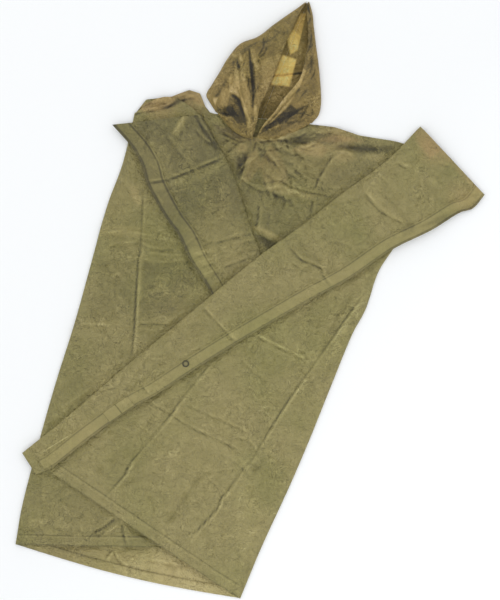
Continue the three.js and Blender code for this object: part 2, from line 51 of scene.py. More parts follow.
# Fold lines and free edges as they lie, from the hem up to the shoulder, in metres
plan = {
    "leftEdge": [(-0.154, -0.533), (-0.133, -0.439), (-0.101, -0.321), (-0.076, -0.171), (-0.071, -0.054),
                 (-0.083, 0.012), (-0.131, 0.092), (-0.154, 0.141), (-0.184, 0.182), (-0.220, 0.250),
                 (-0.231, 0.289), (-0.253, 0.327), (-0.293, 0.373)],
    "leftTurn": [(-0.107, -0.531), (-0.081, -0.428), (-0.043, -0.300), (0, -0.128), (0.026, 0),
                 (0.023, 0.098), (0.006, 0.143), (-0.028, 0.250), (-0.051, 0.302), (-0.103, 0.396)],
    "leftSide": [(-0.501, -0.523), (-0.486, -0.437), (-0.448, -0.293), (-0.413, -0.171), (-0.375, -0.051),
                 (-0.339, 0.079), (-0.305, 0.201), (-0.272, 0.291), (-0.246, 0.400)],
    "rightSide": [(-0.020, -0.639), (0.024, -0.533), (0.086, -0.398), (0.128, -0.300), (0.177, -0.178),
                  (0.220, -0.073), (0.248, -0.021), (0.275, 0.058), (0.305, 0.105), (0.325, 0.133),
                  (0.385, 0.321)],
    "rightTurn": [(-0.486, -0.327), (-0.411, -0.267), (-0.328, -0.196), (-0.252, -0.131), (-0.162, -0.057),
                  (-0.048, 0.038), (0.026, 0.098), (0.107, 0.156), (0.197, 0.227), (0.293, 0.298),
                  (0.364, 0.370)],
    "rightEdge": [(-0.456, -0.373), (-0.420, -0.357), (-0.339, -0.294), (-0.247, -0.229), (-0.197, -0.201),
                  (-0.107, -0.142), (0.002, -0.075), (0.131, 0), (0.215, 0.046), (0.306, 0.108),
                  (0.389, 0.149), (0.449, 0.186), (0.477, 0.195), (0.502, 0.224)],
    "hoodSeam": [(0.0253, 0.3874), (0.123, 0.634)],
    "hoodLeftSide": [(-0.072, 0.400), (-0.088, 0.425), (-0.093, 0.438), (-0.080, 0.461), (-0.064, 0.487),
                     (-0.048, 0.514), (-0.021, 0.546), (0.018, 0.562), (0.052, 0.588), (0.077, 0.606),
                     (0.103, 0.624), (0.118, 0.636)],
    "hoodLeftRim": [(0.005, 0.342), (0.016, 0.381), (0.022, 0.414), (0.035, 0.439), (0.049, 0.473),
                    (0.062, 0.508), (0.073, 0.536), (0.086, 0.566), (0.104, 0.606), (0.122, 0.637)],
    "hoodRightSide": [(0.133, 0.377), (0.148, 0.395), (0.153, 0.425), (0.150, 0.478), (0.147, 0.507),
                      (0.142, 0.544), (0.137, 0.587), (0.135, 0.609), (0.128, 0.636)],
    "hoodRightRim": [(0.012, 0.342), (0.030, 0.374), (0.053, 0.400), (0.070, 0.425), (0.106, 0.469),
                     (0.117, 0.507), (0.124, 0.546), (0.124, 0.580), (0.122, 0.606), (0.1244, 0.637)],
}

# The shoulder line between the folded sides: share across, rise above a straight line, drop of the neck
shoulder = {
    "share": [0, 0.036, 0.122, 0.182, 0.22, 0.245, 0.27, 0.315, 0.372, 0.43, 0.475, 0.527, 0.61, 0.678, 0.762,
              0.88, 1],
    "rise": [0, 0.031, 0.044, 0.063, 0.058, 0.021, 0.019, 0.0195, 0.0203, 0.021, 0.0213, 0.0216, 0.022, 0.022,
             0.011, 0.008, 0],
    "neckDrop": [0, 0, 0, 0, 0, 0, 0, 0.027, 0.040, 0.042, 0.037, 0.023, 0, 0, 0, 0, 0],
    "fadeStart": 0.74, "wingRise": 0.036, "hemBow": 0.012, "hemBowEnd": 0.25,
}
support = {"full": 0.045, "end": 0.130}

# Creases: points, kind, height and half width in millimetres, and how much the film is darkened (below 0) or
# lightened along it
# The darkening along a crease is painted shade in its fold, the lightening painted highlight on its ridge.
creases = {
    "leftWing": [
        ([(-235, 413), (-210, 419), (-175, 419)], "pack", -3, 6, -0.9),
        ([(-227, 422), (-197, 428), (-167, 430)], "ridge", 4, 7, 0.6),
        ([(-253, 394), (-214, 402), (-180, 409), (-154, 422)], "pack", -2.6, 5, -0.9),
        ([(-214, 407), (-193, 413), (-167, 419)], "ridge", 3, 5, 0.4),
        ([(-227, 257), (-231, 154), (-233, 107), (-238, 81), (-244, -17), (-246, -58), (-253, -133),
          (-261, -278), (-272, -471), (-263, -524)], "pack", -1.6, 7, -0.9),
        ([(-315, 143), (-274, 146), (-233, 141), (-190, 131), (-154, 128)], "ridge", 3.2, 8, 0.5),
        ([(-323, 105), (-278, 107), (-233, 109)], "ridge", 2.2, 7, 0.2),
        ([(-218, 101), (-171, 96), (-131, 96)], "ridge", 3, 7, 0.7),
        ([(-233, 88), (-188, 81), (-131, 88)], "ridge", 2.6, 7, 0.6),
        ([(-308, 133), (-287, 122), (-263, 120), (-233, 128)], "ridge", 2.4, 6, 0.3),
        ([(-233, 124), (-214, 116), (-193, 111)], "ridge", 2, 5, 0.3),
        ([(-304, 111), (-270, 116), (-233, 120)], "pack", -1.4, 5, -0.3),
        ([(-233, 116), (-201, 105), (-161, 107)], "pack", -1.5, 5, -0.4),
        ([(-263, 90), (-238, 92)], "ridge", 1.6, 5, 0.2),
        ([(-321, 90), (-287, 77), (-250, 56)], "ridge", 1.5, 6, 0.15),
        ([(-319, 73), (-295, 49), (-276, 41)], "ridge", 2.4, 7, 0.2),
        ([(-312, 77), (-287, 53), (-270, 45)], "pack", -1.2, 5, -0.1),
        ([(-304, 24), (-285, 41)], "ridge", 1.6, 6, 0.1),
        ([(-231, -2), (-210, 17), (-180, 39), (-150, 60)], "ridge", 1.2, 9, 0.05),
        ([(-233, -19), (-212, 11)], "ridge", 1.2, 6, 0.1),
        ([(-205, 30), (-186, 26)], "ridge", 1.8, 9, 0.25),
        ([(-364, -51), (-315, -53), (-285, -53), (-248, -58)], "ridge", 2.2, 6, 0.5),
        ([(-244, -53), (-203, -53), (-161, -56)], "pack", -1.8, 5, -0.5),
        ([(-242, -62), (-203, -64), (-167, -64)], "ridge", 2.4, 7, 0.45),
        ([(-282, -122), (-255, -90)], "ridge", 1.2, 7, 0.1),
        ([(-242, -96), (-223, -111)], "ridge", 1, 6, 0.05),
        ([(-327, -152), (-302, -169)], "ridge", 1, 5, 0.1),
        ([(-355, -182), (-312, -156), (-287, -143)], "ridge", 1.3, 6, 0.1),
        ([(-248, 223), (-238, 208), (-231, 203)], "ridge", 2.6, 8, 0.5),
        ([(-248, 261), (-242, 223)], "ridge", 2.4, 10, 0.15),
        ([(-261, 274), (-255, 231)], "ridge", 2, 9, 0.1),
        ([(-205, 231), (-197, 214)], "ridge", 1.6, 7, 0.3),
        ([(-287, 235), (-263, 214)], "ridge", 1, 6, 0.05),
        ([(-407, -231), (-374, -212), (-330, -182)], "ridge", 2.6, 8, 0.35),
        ([(-417, -261), (-368, -218)], "pack", -1.6, 6, -0.2),
        ([(-445, -372), (-445, -428), (-439, -475)], "pack", -1.8, 8, -0.25),
        ([(-424, -377), (-426, -428), (-419, -471)], "ridge", 1.5, 9, 0.05),
        ([(-407, -385), (-402, -439), (-385, -475)], "pack", -1.2, 8, -0.1),
        ([(-471, -475), (-454, -471), (-439, -481)], "ridge", 3, 9, 0.35),
        ([(-492, -501), (-439, -499), (-385, -503), (-334, -501)], "ridge", 1.8, 5, 0.45),
        ([(-334, -499), (-308, -484), (-287, -467)], "pack", -2.4, 6, -0.8),
        ([(-325, -514), (-304, -496), (-280, -479)], "ridge", 2.4, 6, 0.5),
        ([(-274, -475), (-270, -503), (-263, -524)], "pack", -1.6, 4, -0.7),
        ([(-261, -492), (-250, -509)], "ridge", 2.2, 6, 0.4),
        ([(-312, -505), (-308, -518)], "ridge", 1.8, 5, 0.5),
        ([(-364, -471), (-338, -475)], "ridge", 2, 8, 0.2),
    ],
    "rightWing": [
        ([(259, 34), (203, -43), (139, -135), (83, -214), (26, -304), (9, -336), (-15, -362),
          (-49, -411), (-60, -422), (-71, -447), (-118, -499), (-152, -546)], "pack", -2, 7, -0.85),
        ([(-71, -120), (-150, -218), (-169, -246), (-253, -347), (-268, -374), (-308, -419),
          (-321, -437)], "pack", -1.8, 6, -0.8),
        ([(0, -73), (60, -103), (120, -133)], "pack", -2, 5, -0.7),
        ([(4, -68), (64, -98), (122, -126)], "ridge", 2.4, 6, 0.6),
        ([(141, -139), (184, -146)], "ridge", 1.5, 5, 0.2),
        ([(-227, -214), (-169, -246)], "pack", -1.5, 5, -0.6),
        ([(-169, -246), (-135, -268), (-43, -312), (-19, -325)], "pack", -1.6, 5, -0.65),
        ([(-158, -259), (-128, -276), (-39, -323)], "ridge", 1.4, 5, 0.1),
        ([(-143, -223), (-120, -233), (-62, -259), (-2, -285)], "pack", -1.4, 5, -0.5),
        ([(-143, -218), (-116, -223), (-43, -225), (0, -216), (39, -210), (81, -188)],
         "ridge", 1.8, 7, 0.15),
        ([(-32, -295), (-2, -304), (11, -319)], "pack", -1.2, 4, -0.5),
        ([(223, 13), (193, -30), (167, -75), (152, -122)], "trough", -4, 15, -0.3),
        ([(-98, -374), (-118, -392), (-148, -439), (-182, -484)], "trough", -3.6, 12, -0.35),
        ([(-107, -372), (-68, -368), (-26, -362)], "pack", -1.4, 5, -0.4),
        ([(-92, -366), (-66, -334)], "ridge", 1.2, 7, 0.05),
        ([(-332, -374), (-285, -334), (-253, -319)], "trough", -3, 13, -0.15),
        ([(-227, -282), (-203, -246)], "trough", -2.6, 9, -0.25),
        ([(-285, -407), (-244, -381)], "trough", -2, 10, -0.1),
        ([(-218, -419), (-201, -449)], "trough", -1.8, 8, -0.1),
        ([(-240, -300), (-214, -268), (-186, -244)], "ridge", 2.2, 7, 0.15),
        ([(26, -133), (51, -158)], "trough", -2.6, 11, -0.2),
        ([(107, -148), (131, -173)], "trough", -2.4, 10, -0.2),
        ([(-2, -396), (15, -443)], "trough", -2.6, 9, -0.25),
        ([(4, -368), (26, -353)], "trough", -2.8, 6, -0.5),
        ([(34, -336), (60, -349)], "ridge", 2.4, 6, 0.4),
        ([(51, -370), (68, -383)], "pack", -1.4, 5, -0.4),
        ([(26, -385), (9, -428), (26, -471)], "ridge", 1.6, 10, 0.05),
        ([(-47, -364), (-30, -381), (-43, -428)], "ridge", 1.2, 10, 0.05),
        ([(171, -167), (193, -180)], "ridge", 1.6, 6, 0.1),
        ([(218, -75), (193, -96), (184, -120)], "ridge", 2, 8, 0.1),
        ([(203, -13), (180, -64)], "ridge", 2.2, 9, 0.15),
        ([(171, 21), (203, 9)], "ridge", 1.8, 5, 0.4),
        ([(171, 9), (201, -2)], "pack", -1.2, 4, -0.35),
        ([(-171, -300), (-193, -332)], "ridge", 1.2, 9, 0.05),
        ([(-364, -332), (-312, -300), (-265, -278)], "ridge", 1.4, 12, 0.05),
        ([(43, -257), (-21, -253), (-107, -244)], "ridge", 1, 8, 0.03),
        ([(107, -205), (77, -218), (43, -235)], "ridge", 1.3, 7, 0.05),
        ([(120, -235), (103, -270)], "ridge", 1.4, 8, 0.05),
        ([(56, -428), (26, -492), (4, -556)], "ridge", 1.2, 12, 0.03),
        ([(-39, -471), (-60, -524)], "ridge", 1.3, 10, 0.05),
        ([(-86, -471), (-103, -514)], "trough", -1.5, 8, -0.05),
        ([(-116, -496), (-133, -499)], "pack", -1.5, 4, -0.6),
    ],
    "leftStrip": [
        ([(-220, 248), (-175, 255), (-126, 274), (-51, 304)], "pack", -1.8, 5, -0.7),
        ([(-122, 268), (-86, 282), (-49, 297)], "ridge", 1.8, 5, 0.35),
        ([(-126, 96), (-81, 109)], "ridge", 2.8, 6, 0.6),
        ([(-116, 79), (-68, 90)], "ridge", 2.6, 6, 0.6),
        ([(-101, 53), (-64, 66)], "ridge", 2.6, 6, 0.6),
        ([(-120, 88), (-77, 101)], "pack", -1.6, 5, -0.5),
        ([(-109, 66), (-68, 79)], "pack", -1.6, 5, -0.4),
        ([(-75, 120), (-34, 131), (6, 141)], "pack", -1.8, 5, -0.5),
        ([(-64, 107), (-30, 122), (4, 128)], "ridge", 2.2, 6, 0.35),
        ([(-56, 88), (-21, 107), (9, 113)], "ridge", 2, 6, 0.35),
        ([(-60, 66), (-21, 81), (21, 98)], "pack", -1.6, 5, -0.5),
        ([(-47, 81), (-30, 107)], "pack", -1.2, 4, -0.2),
        ([(-26, 94), (-9, 122)], "pack", -1.2, 4, -0.2),
        ([(-135, 400), (-148, 377), (-163, 353)], "ridge", 3, 6, 0.7),
        ([(-122, 407), (-107, 377), (-90, 351), (-68, 323)], "pack", -2, 5, -0.7),
        ([(-116, 402), (-81, 360), (-60, 321)], "ridge", 2.4, 6, 0.35),
        ([(-120, 364), (-94, 338), (-66, 321)], "pack", -1.4, 4, -0.5),
        ([(-184, 355), (-156, 319), (-126, 282), (-113, 261)], "pack", -1.1, 4, -0.3),
        ([(-167, 351), (-154, 325)], "ridge", 1.6, 5, 0.2),
        ([(-66, 169), (-56, 190), (-43, 208)], "ridge", 1.2, 6, 0.1),
        ([(-116, 146), (-81, 167), (-47, 197)], "ridge", 1.3, 8, 0.05),
        ([(-216, 340), (-203, 310), (-186, 274)], "ridge", 1.8, 6, 0.35),
        ([(-214, 289), (-197, 278)], "ridge", 1.6, 7, 0.3),
        ([(-116, 321), (-94, 332)], "ridge", 1.4, 6, 0.15),
        ([(-197, 223), (-184, 205)], "ridge", 1.8, 8, 0.3),
        ([(-30, 257), (-13, 214), (0, 167)], "ridge", 1.2, 8, 0.1),
        ([(-107, 244), (-77, 235)], "ridge", 1.2, 6, 0.05),
    ],
    "rightStrip": [
        ([(-103, -15), (-68, -53), (-30, -92)], "pack", -1.8, 5, -0.6),
        ([(-96, -13), (-60, -53), (-24, -88)], "ridge", 1.4, 5, 0.25),
        ([(83, 116), (107, 86), (152, 66), (156, 51), (175, 26)], "pack", -2.4, 6, -0.8),
        ([(92, 120), (118, 90), (154, 75)], "ridge", 2.4, 6, 0.3),
        ([(75, 107), (98, 77), (133, 60)], "ridge", 2, 5, 0.25),
        ([(124, 51), (150, 43), (169, 30)], "ridge", 2.4, 5, 0.5),
        ([(107, 36), (141, 30), (158, 21)], "ridge", 1.8, 5, 0.35),
        ([(86, 81), (107, 64), (128, 64)], "pack", -1.2, 4, -0.3),
        ([(26, 26), (47, 47), (71, 68)], "trough", -2.4, 10, -0.2),
        ([(26, 94), (45, 68)], "pack", -1, 4, -0.3),
        ([(56, 107), (77, 81)], "ridge", 1.4, 6, 0.1),
        ([(242, 231), (276, 190), (327, 161)], "pack", -2.2, 5, -0.7),
        ([(248, 235), (282, 197), (330, 169)], "ridge", 2, 6, 0.2),
        ([(312, 291), (338, 278)], "pack", -1.8, 4, -0.7),
        ([(362, 263), (368, 242), (362, 193)], "ridge", 1.8, 5, 0.2),
        ([(357, 261), (364, 235), (355, 193)], "pack", -1.2, 4, -0.3),
        ([(287, 257), (295, 238)], "pack", -1.4, 4, -0.3),
        ([(306, 223), (321, 212)], "ridge", 2, 5, 0.3),
        ([(317, 201), (325, 180)], "ridge", 1.6, 6, 0.25),
        ([(150, 167), (161, 141), (156, 120)], "pack", -1.4, 4, -0.4),
        ([(141, 171), (152, 137)], "ridge", 1.2, 6, 0.1),
        ([(190, 105), (190, 86)], "pack", -1.2, 4, -0.4),
        ([(220, 165), (265, 180)], "pack", -1, 4, -0.25),
        ([(171, 201), (197, 188), (214, 167)], "ridge", 1.6, 10, 0.1),
        ([(218, 223), (248, 205)], "ridge", 2, 11, 0.12),
        ([(342, 235), (385, 274)], "ridge", 1.4, 12, 0.05),
        ([(398, 291), (428, 282)], "pack", -1.4, 4, -0.5),
        ([(385, 257), (419, 235), (454, 231)], "ridge", 1.8, 10, 0.1),
        ([(419, 203), (454, 223), (488, 223)], "pack", -1.6, 5, -0.3),
        ([(-278, -210), (-223, -169), (-161, -124)], "trough", -1.6, 8, -0.1),
        ([(-231, -182), (-216, -205)], "pack", -1.6, 4, -0.6),
        ([(-445, -327), (-411, -306), (-372, -282)], "ridge", 0.8, 3, 1.6),
        ([(-235, -154), (-201, -124), (-171, -111)], "ridge", 1.2, 7, 0.1),
        ([(-374, -235), (-338, -212), (-300, -193)], "ridge", 1.4, 7, 0.15),
    ],
    "body": [
        ([(86, 360), (128, 374), (156, 370)], "pack", -3, 6, -1),
        ([(71, 342), (113, 321), (143, 332)], "pack", -3, 6, -1),
        ([(156, 366), (199, 360), (229, 349)], "ridge", 3, 7, 0.6),
        ([(28, 321), (6, 300), (-15, 285)], "ridge", 2.6, 6, 0.7),
        ([(128, 347), (150, 353), (171, 357)], "ridge", 2.4, 6, 0.6),
        ([(156, 306), (199, 317), (220, 306)], "ridge", 2.4, 6, 0.6),
        ([(-86, 402), (-64, 392), (-43, 364), (0, 347)], "pack", -3, 6, -0.8),
        ([(-75, 407), (-51, 394), (-28, 370)], "ridge", 2.4, 5, 0.5),
        ([(-28, 381), (-6, 368), (15, 362)], "ridge", 2.6, 5, 0.8),
        ([(-60, 357), (-30, 340), (-6, 336)], "pack", -2.4, 5, -0.7),
        ([(17, 336), (53, 340), (90, 340)], "pack", -2.4, 5, -0.8),
        ([(26, 330), (64, 327), (98, 317)], "ridge", 2.2, 5, 0.6),
        ([(43, 351), (68, 362), (98, 370)], "ridge", 2.2, 5, 0.5),
        ([(-161, 432), (-133, 439), (-107, 434)], "ridge", 4, 7, 0.5),
        ([(-154, 419), (-128, 430), (-101, 422)], "pack", -3, 5, -0.9),
        ([(-137, 445), (-120, 439), (-101, 428)], "pack", -2, 4, -0.5),
        ([(-128, 419), (-111, 415), (-96, 402)], "ridge", 3, 5, 0.4),
        ([(-293, -533), (-309, -554)], "pack", -2, 5, -0.8),
        ([(-293, -535), (-284, -556), (-259, -576)], "pack", -2.2, 5, -0.8),
        ([(-283, -537), (-272, -552), (-250, -563)], "ridge", 2.4, 6, 0.4),
        ([(-227, -552), (-186, -557), (-146, -567)], "ridge", 2.2, 6, 0.3),
        ([(-230, -559), (-186, -566), (-150, -575)], "pack", -1.6, 4, -0.5),
        ([(-6, 310), (-15, 278), (-28, 248)], "pack", -2.6, 6, -0.8),
        ([(0, 338), (4, 304), (-6, 274), (-19, 257)], "ridge", 3, 8, 0.3),
        ([(-47, 338), (-39, 304), (-28, 261)], "ridge", 2, 6, 0.1),
        ([(-26, 261), (4, 240), (34, 227)], "pack", -2.2, 6, -0.6),
        ([(-17, 253), (9, 246), (26, 235)], "ridge", 2.2, 5, 0.35),
        ([(24, 246), (60, 253), (94, 238), (135, 227), (180, 216)], "pack", -2, 5, -0.7),
        ([(30, 235), (64, 242), (98, 229), (135, 218)], "ridge", 3.2, 8, 0.5),
        ([(73, 238), (88, 210), (103, 182), (113, 161)], "pack", -2, 6, -0.35),
        ([(98, 235), (116, 214), (133, 201)], "ridge", 2.8, 8, 0.45),
        ([(180, 312), (146, 257), (139, 235)], "pack", -1.8, 5, -0.75),
        ([(135, 220), (133, 197), (128, 173)], "pack", -1.6, 4, -0.7),
        ([(4, 156), (34, 146), (68, 126)], "ridge", 2.2, 8, 0.45),
        ([(13, 141), (34, 128), (51, 116)], "trough", -2.6, 8, -0.4),
        ([(94, 321), (118, 327), (154, 321)], "ridge", 4, 12, 0.45),
        ([(180, 300), (205, 315), (227, 304)], "ridge", 3, 9, 0.45),
        ([(175, 242), (199, 238)], "ridge", 1.8, 6, 0.5),
        ([(30, 274), (43, 300), (39, 321)], "ridge", 2.6, 9, 0.1),
        ([(47, 203), (56, 225)], "trough", -2.4, 6, -0.3),
        ([(73, 342), (107, 336), (133, 334)], "trough", -3.2, 9, -0.8),
        ([(184, 330), (235, 323), (287, 321)], "trough", -2.6, 9, -0.7),
        ([(-51, 360), (-26, 342), (-4, 330)], "ridge", 2.4, 4, 0.25),
        ([(-60, 347), (-39, 336), (-17, 325)], "pack", -1.6, 4, -0.5),
        ([(17, 330), (43, 334), (73, 342)], "ridge", 2.6, 5, 0.35),
        ([(26, 317), (56, 321), (86, 330)], "pack", -1.8, 4, -0.4),
        ([(-41, 321), (-30, 336)], "ridge", 2, 4, 0.3),
        ([(-21, 308), (-15, 330)], "pack", -1.5, 4, -0.4),
        ([(9, 317), (13, 338)], "pack", -2, 4, -0.6),
        ([(163, 300), (171, 265)], "ridge", 1.5, 9, 0.05),
        ([(203, 278), (235, 265)], "ridge", 1.4, 12, 0.05),
    ],
}

# Fine wrinkles that fill the film between the main creases: how many, and their usual direction in degrees
wrinkles = {
    "leftWing": {"count": 90, "direction": 12, "spread": 60, "seed": 3},
    "rightWing": {"count": 120, "direction": 30, "spread": 75, "seed": 7},
    "leftStrip": {"count": 55, "direction": 25, "spread": 70, "seed": 11},
    "rightStrip": {"count": 80, "direction": 35, "spread": 75, "seed": 17},
    "body": {"count": 110, "direction": -20, "spread": 85, "seed": 23},
}
# The pressed wrinkles get painted shade along them (dark), the soft ones painted highlight (light).
wrinkleSize = {
    "length": (0.018, 0.085), "bend": 0.25, "sharpShare": 0.45, "height": (0.5, 1.5), "sharpHeight": 0.6,
    "width": (2.5, 7.5), "dark": (-0.35, -0.05), "light": (0, 0.22), "inside": -0.004,
}
# How the film lies: air under it, ripples, where it may rise near folds, layers above and free edges, with a
# line of painted shade along the free edges
film = {
    "airLift": 0.0024, "airWave": (0.05, 0.16), "ripple": 0.0004, "rippleWave": (0.016, 0.05),
    "rippleCount": 14, "edgeClear": 0.001, "edgeRise": 0.012, "underClear": 0.003, "underMargin": 0.010,
    "sink": 0.0006, "freeLift": 0.0014, "freeReach": 0.016, "freeWave": (0.08, 0.2), "freeShade": 0.4,
    "freeLine": 0.0018,
}
# Profile of a crease: a pressed line of painted shade with a painted highlight (the glint) beside it, or a
# soft ridge or trough, painted lighter or darker along it
profile = {
    "fade": 0.12, "margin": 0.004, "pressedReach": 4, "softReach": 1.2, "pressed": 0.85, "sharpness": 0.6,
    "pressedTone": 0.75, "line": 0.0023, "glint": 0.75, "glintPlace": 0.0048, "glintWidth": 0.0026,
    "softTone": 0.6, "softWidth": 0.55, "even": 0.8, "uneven": 0.3,
}
millimetre = 0.001


def smooth(value):
    # 0 to 1 with a soft start and end
    value = np.clip(value, 0, 1)
    return value * value * (3 - 2 * value)


def smoothLine(points, steps=12):
    # A curve through the points, as short straight pieces
    given = np.array(points, float)
    ends = np.vstack([2 * given[0] - given[1], given, 2 * given[-1] - given[-2]])
    pieces = []
    for i in range(1, len(ends) - 2):
        before, start, end, after = ends[i - 1:i + 3]
        span = np.linalg.norm(end - start)
        slopeIn = (end - before) / (np.linalg.norm(start - before) + span) * span
        slopeOut = (after - start) / (np.linalg.norm(after - end) + span) * span
        s = np.linspace(0, 1, steps, endpoint=False)[:, None]
        pieces.append((2 * s**3 - 3 * s**2 + 1) * start + (s**3 - 2 * s**2 + s) * slopeIn
                      + (3 * s**2 - 2 * s**3) * end + (s**3 - s**2) * slopeOut)
    return np.vstack([*pieces, given[-1:]])


def lineOf(points):
    curve = smoothLine(points)
    reached = np.concatenate([[0], np.cumsum(np.linalg.norm(np.diff(curve, axis=0), axis=1))])
    return {"curve": curve, "share": reached / reached[-1]}


lines = {name: lineOf(points) for name, points in plan.items()}


def at(name, share):
    line = lines[name]
    return np.column_stack([np.interp(share, line["share"], line["curve"][:, k]) for k in (0, 1)])


def outward(name, share, side):
    along = at(name, share + 0.04) - at(name, share - 0.04)
    along /= np.linalg.norm(along, axis=1, keepdims=True)
    return np.column_stack([along[:, 1], -along[:, 0]]) * side


def distanceTo(path, x, y):
    nearest = np.full(x.shape, 9.0)
    share = np.zeros(x.shape)
    sideOf = np.zeros(x.shape)
    steps = np.linalg.norm(np.diff(path, axis=0), axis=1)
    reached = np.concatenate([[0], np.cumsum(steps)])
    for i in range(len(path) - 1):
        dx, dy = path[i + 1] - path[i]
        squared = dx * dx + dy * dy + 1e-12
        part = np.clip(((x - path[i, 0]) * dx + (y - path[i, 1]) * dy) / squared, 0, 1)
        offX = x - path[i, 0] - dx * part
        offY = y - path[i, 1] - dy * part
        away = np.hypot(offX, offY)
        closer = away < nearest
        nearest = np.where(closer, away, nearest)
        share = np.where(closer, (reached[i] + part * steps[i]) / reached[-1], share)
        sideOf = np.where(closer, np.sign(dx * offY - dy * offX), sideOf)
    return nearest, share, sideOf


# Signed distance to each part of the plan, kept on a 4 mm raster and read between its points
raster = {"low": -0.72, "high": 0.76, "step": 0.004}
rasterAxis = np.arange(raster["low"], raster["high"], raster["step"])
rasterX, rasterY = np.meshgrid(rasterAxis, rasterAxis, indexing="ij")


def regionField(first, second):
    share = np.linspace(0, 1, 40)
    ring = np.vstack([at(first, share), at(second, share[::-1])])
    ring = np.vstack([ring, ring[:1]])
    inside = np.zeros(rasterX.shape, bool)
    for i in range(len(ring) - 1):
        (ax, ay), (bx, by) = ring[i], ring[i + 1]
        if ay != by:
            crosses = (ay > rasterY) != (by > rasterY)
            inside ^= crosses & (rasterX < ax + (rasterY - ay) / (by - ay) * (bx - ax))
    away = distanceTo(ring, rasterX, rasterY)[0]
    return np.where(inside, -away, away)


regions = {
    "body": regionField("leftSide", "rightSide"),
    "leftWing": regionField("leftSide", "leftTurn"),
    "leftStrip": regionField("leftEdge", "leftTurn"),
    "rightWing": regionField("rightSide", "rightTurn"),
    "rightStrip": regionField("rightEdge", "rightTurn"),
    "hood": regionField("hoodLeftSide", "hoodRightSide"),
}
zonesAbove = {
    "body": ["leftWing", "leftStrip", "rightWing", "rightStrip", "hood"],
    "leftWing": ["leftStrip", "rightWing", "rightStrip"],
    "leftStrip": ["rightWing", "rightStrip"],
    "rightWing": ["rightStrip"],
    "rightStrip": [],
}
zoneLines = {
    "body": ["leftSide", "rightSide"],
    "leftWing": ["leftSide", "leftTurn"],
    "leftStrip": ["leftTurn"],
    "rightWing": ["rightSide", "rightTurn"],
    "rightStrip": ["rightTurn"],
}
freeEdges = {"leftStrip": "leftEdge", "rightStrip": "rightEdge"}
print("plan and regions ready")


def readField(values, x, y):
    last = len(rasterAxis) - 2
    u = (x - raster["low"]) / raster["step"]
    v = (y - raster["low"]) / raster["step"]
    i = np.clip(u.astype(int), 0, last)
    j = np.clip(v.astype(int), 0, last)
    s = np.clip(u - i, 0, 1)
    t = np.clip(v - j, 0, 1)
    return ((values[i, j] * (1 - s) + values[i + 1, j] * s) * (1 - t)
            + (values[i, j + 1] * (1 - s) + values[i + 1, j + 1] * s) * t)


def away(name, x, y):
    return readField(regions[name], x, y)


def cover(name, x, y):
    reach = (away(name, x, y) - support["full"]) / (support["end"] - support["full"])
    return 1 - smooth(reach)


def layersBelow(zone, x, y):
    layers = np.zeros(x.shape)
    if zone == "body":
        return layers
    layers = layers + 2 * cover("body", x, y)
    if zone == "leftWing":
        return layers
    layers = layers + 2 * cover("leftWing", x, y)
    if zone == "leftStrip":
        return layers
    layers = layers + 3 * cover("leftStrip", x, y)
    if zone == "rightWing":
        return layers
    return layers + 2 * cover("rightWing", x, y)


# Broad folds that lift both layers of a zone: ends in metres, half width and height in millimetres
broadFolds = {
    "leftWing": [((-0.322, 0.145), (-0.150, 0.126), 42, 5), ((-0.330, 0.098), (-0.140, 0.088), 40, 4),
                 ((-0.250, 0.060), (-0.258, -0.300), 60, 3), ((-0.400, -0.060), (-0.260, -0.090), 50, 3),
                 ((-0.460, -0.330), (-0.360, -0.500), 60, 4)],
    "rightWing": [((0.205, 0), (0.110, -0.190), 55, 5), ((0.090, -0.170), (0.010, -0.360), 60, 4),
                  ((-0.140, -0.250), (-0.030, -0.350), 55, 4), ((-0.180, -0.330), (-0.110, -0.470), 50, 3)],
    "leftStrip": [((-0.215, 0.300), (-0.090, 0.190), 45, 4), ((-0.150, 0.360), (-0.060, 0.290), 40, 3)],
    "rightStrip": [((0.400, 0.300), (0.300, 0.180), 50, 6), ((0.150, 0.120), (0.060, 0.040), 45, 3),
                   ((-0.120, -0.040), (-0.220, -0.150), 50, 3)],
    "body": [((0.060, 0.250), (0.160, 0.230), 45, 5), ((0.180, 0.330), (0.140, 0.230), 45, 4)],
}
broadReach = {"clear": 0.012, "rise": 0.070}


def broadRelief(zone, x, y):
    height = np.zeros(x.shape)
    for start, end, width, rise in broadFolds[zone]:
        start, end = np.array(start), np.array(end)
        span = end - start
        along = np.clip(((x - start[0]) * span[0] + (y - start[1]) * span[1]) / (span @ span), 0.15, 0.85)
        off = np.hypot(x - start[0] - span[0] * along, y - start[1] - span[1] * along)
        height += rise * millimetre * (1 - smooth(off / (width * millimetre)))
    for name in zonesAbove[zone]:
        height *= smooth((away(name, x, y) - broadReach["clear"]) / broadReach["rise"])
    return height


def randomWrinkles(zone):
    rule, size = wrinkles[zone], wrinkleSize
    draw = np.random.default_rng(rule["seed"])
    inside = np.argwhere(regions[zone] < size["inside"])
    made = []
    for i, j in inside[draw.integers(0, len(inside), rule["count"])]:
        angle = math.radians(rule["direction"] + draw.uniform(-1, 1) * rule["spread"])
        length = draw.uniform(*size["length"])
        bend = draw.uniform(-size["bend"], size["bend"]) * length
        along = np.array([math.cos(angle), math.sin(angle)])
        across = np.array([-along[1], along[0]])
        middle = np.array([rasterAxis[i], rasterAxis[j]])
        points = [middle - along * length / 2, middle + across * bend, middle + along * length / 2]
        sharp = draw.random() < size["sharpShare"]
        height = draw.uniform(*size["height"])
        made.append((points, "pack" if sharp else "ridge", -height * size["sharpHeight"] if sharp else height,
                     draw.uniform(*size["width"]), draw.uniform(*size["dark" if sharp else "light"])))
    return made


def waves(x, y, seed, sizes, count=9):
    draw = np.random.default_rng(seed)
    total = np.zeros(x.shape)
    for _ in range(count):
        size = draw.uniform(*sizes)
        angle = draw.uniform(0, 2 * math.pi)
        along = x * math.cos(angle) + y * math.sin(angle)
        total += np.sin(along * 2 * math.pi / size + draw.uniform(0, 6.28))
    return total / math.sqrt(count)


def handDrawn(rows):
    return [(np.array(points) * millimetre, *rest) for points, *rest in rows]


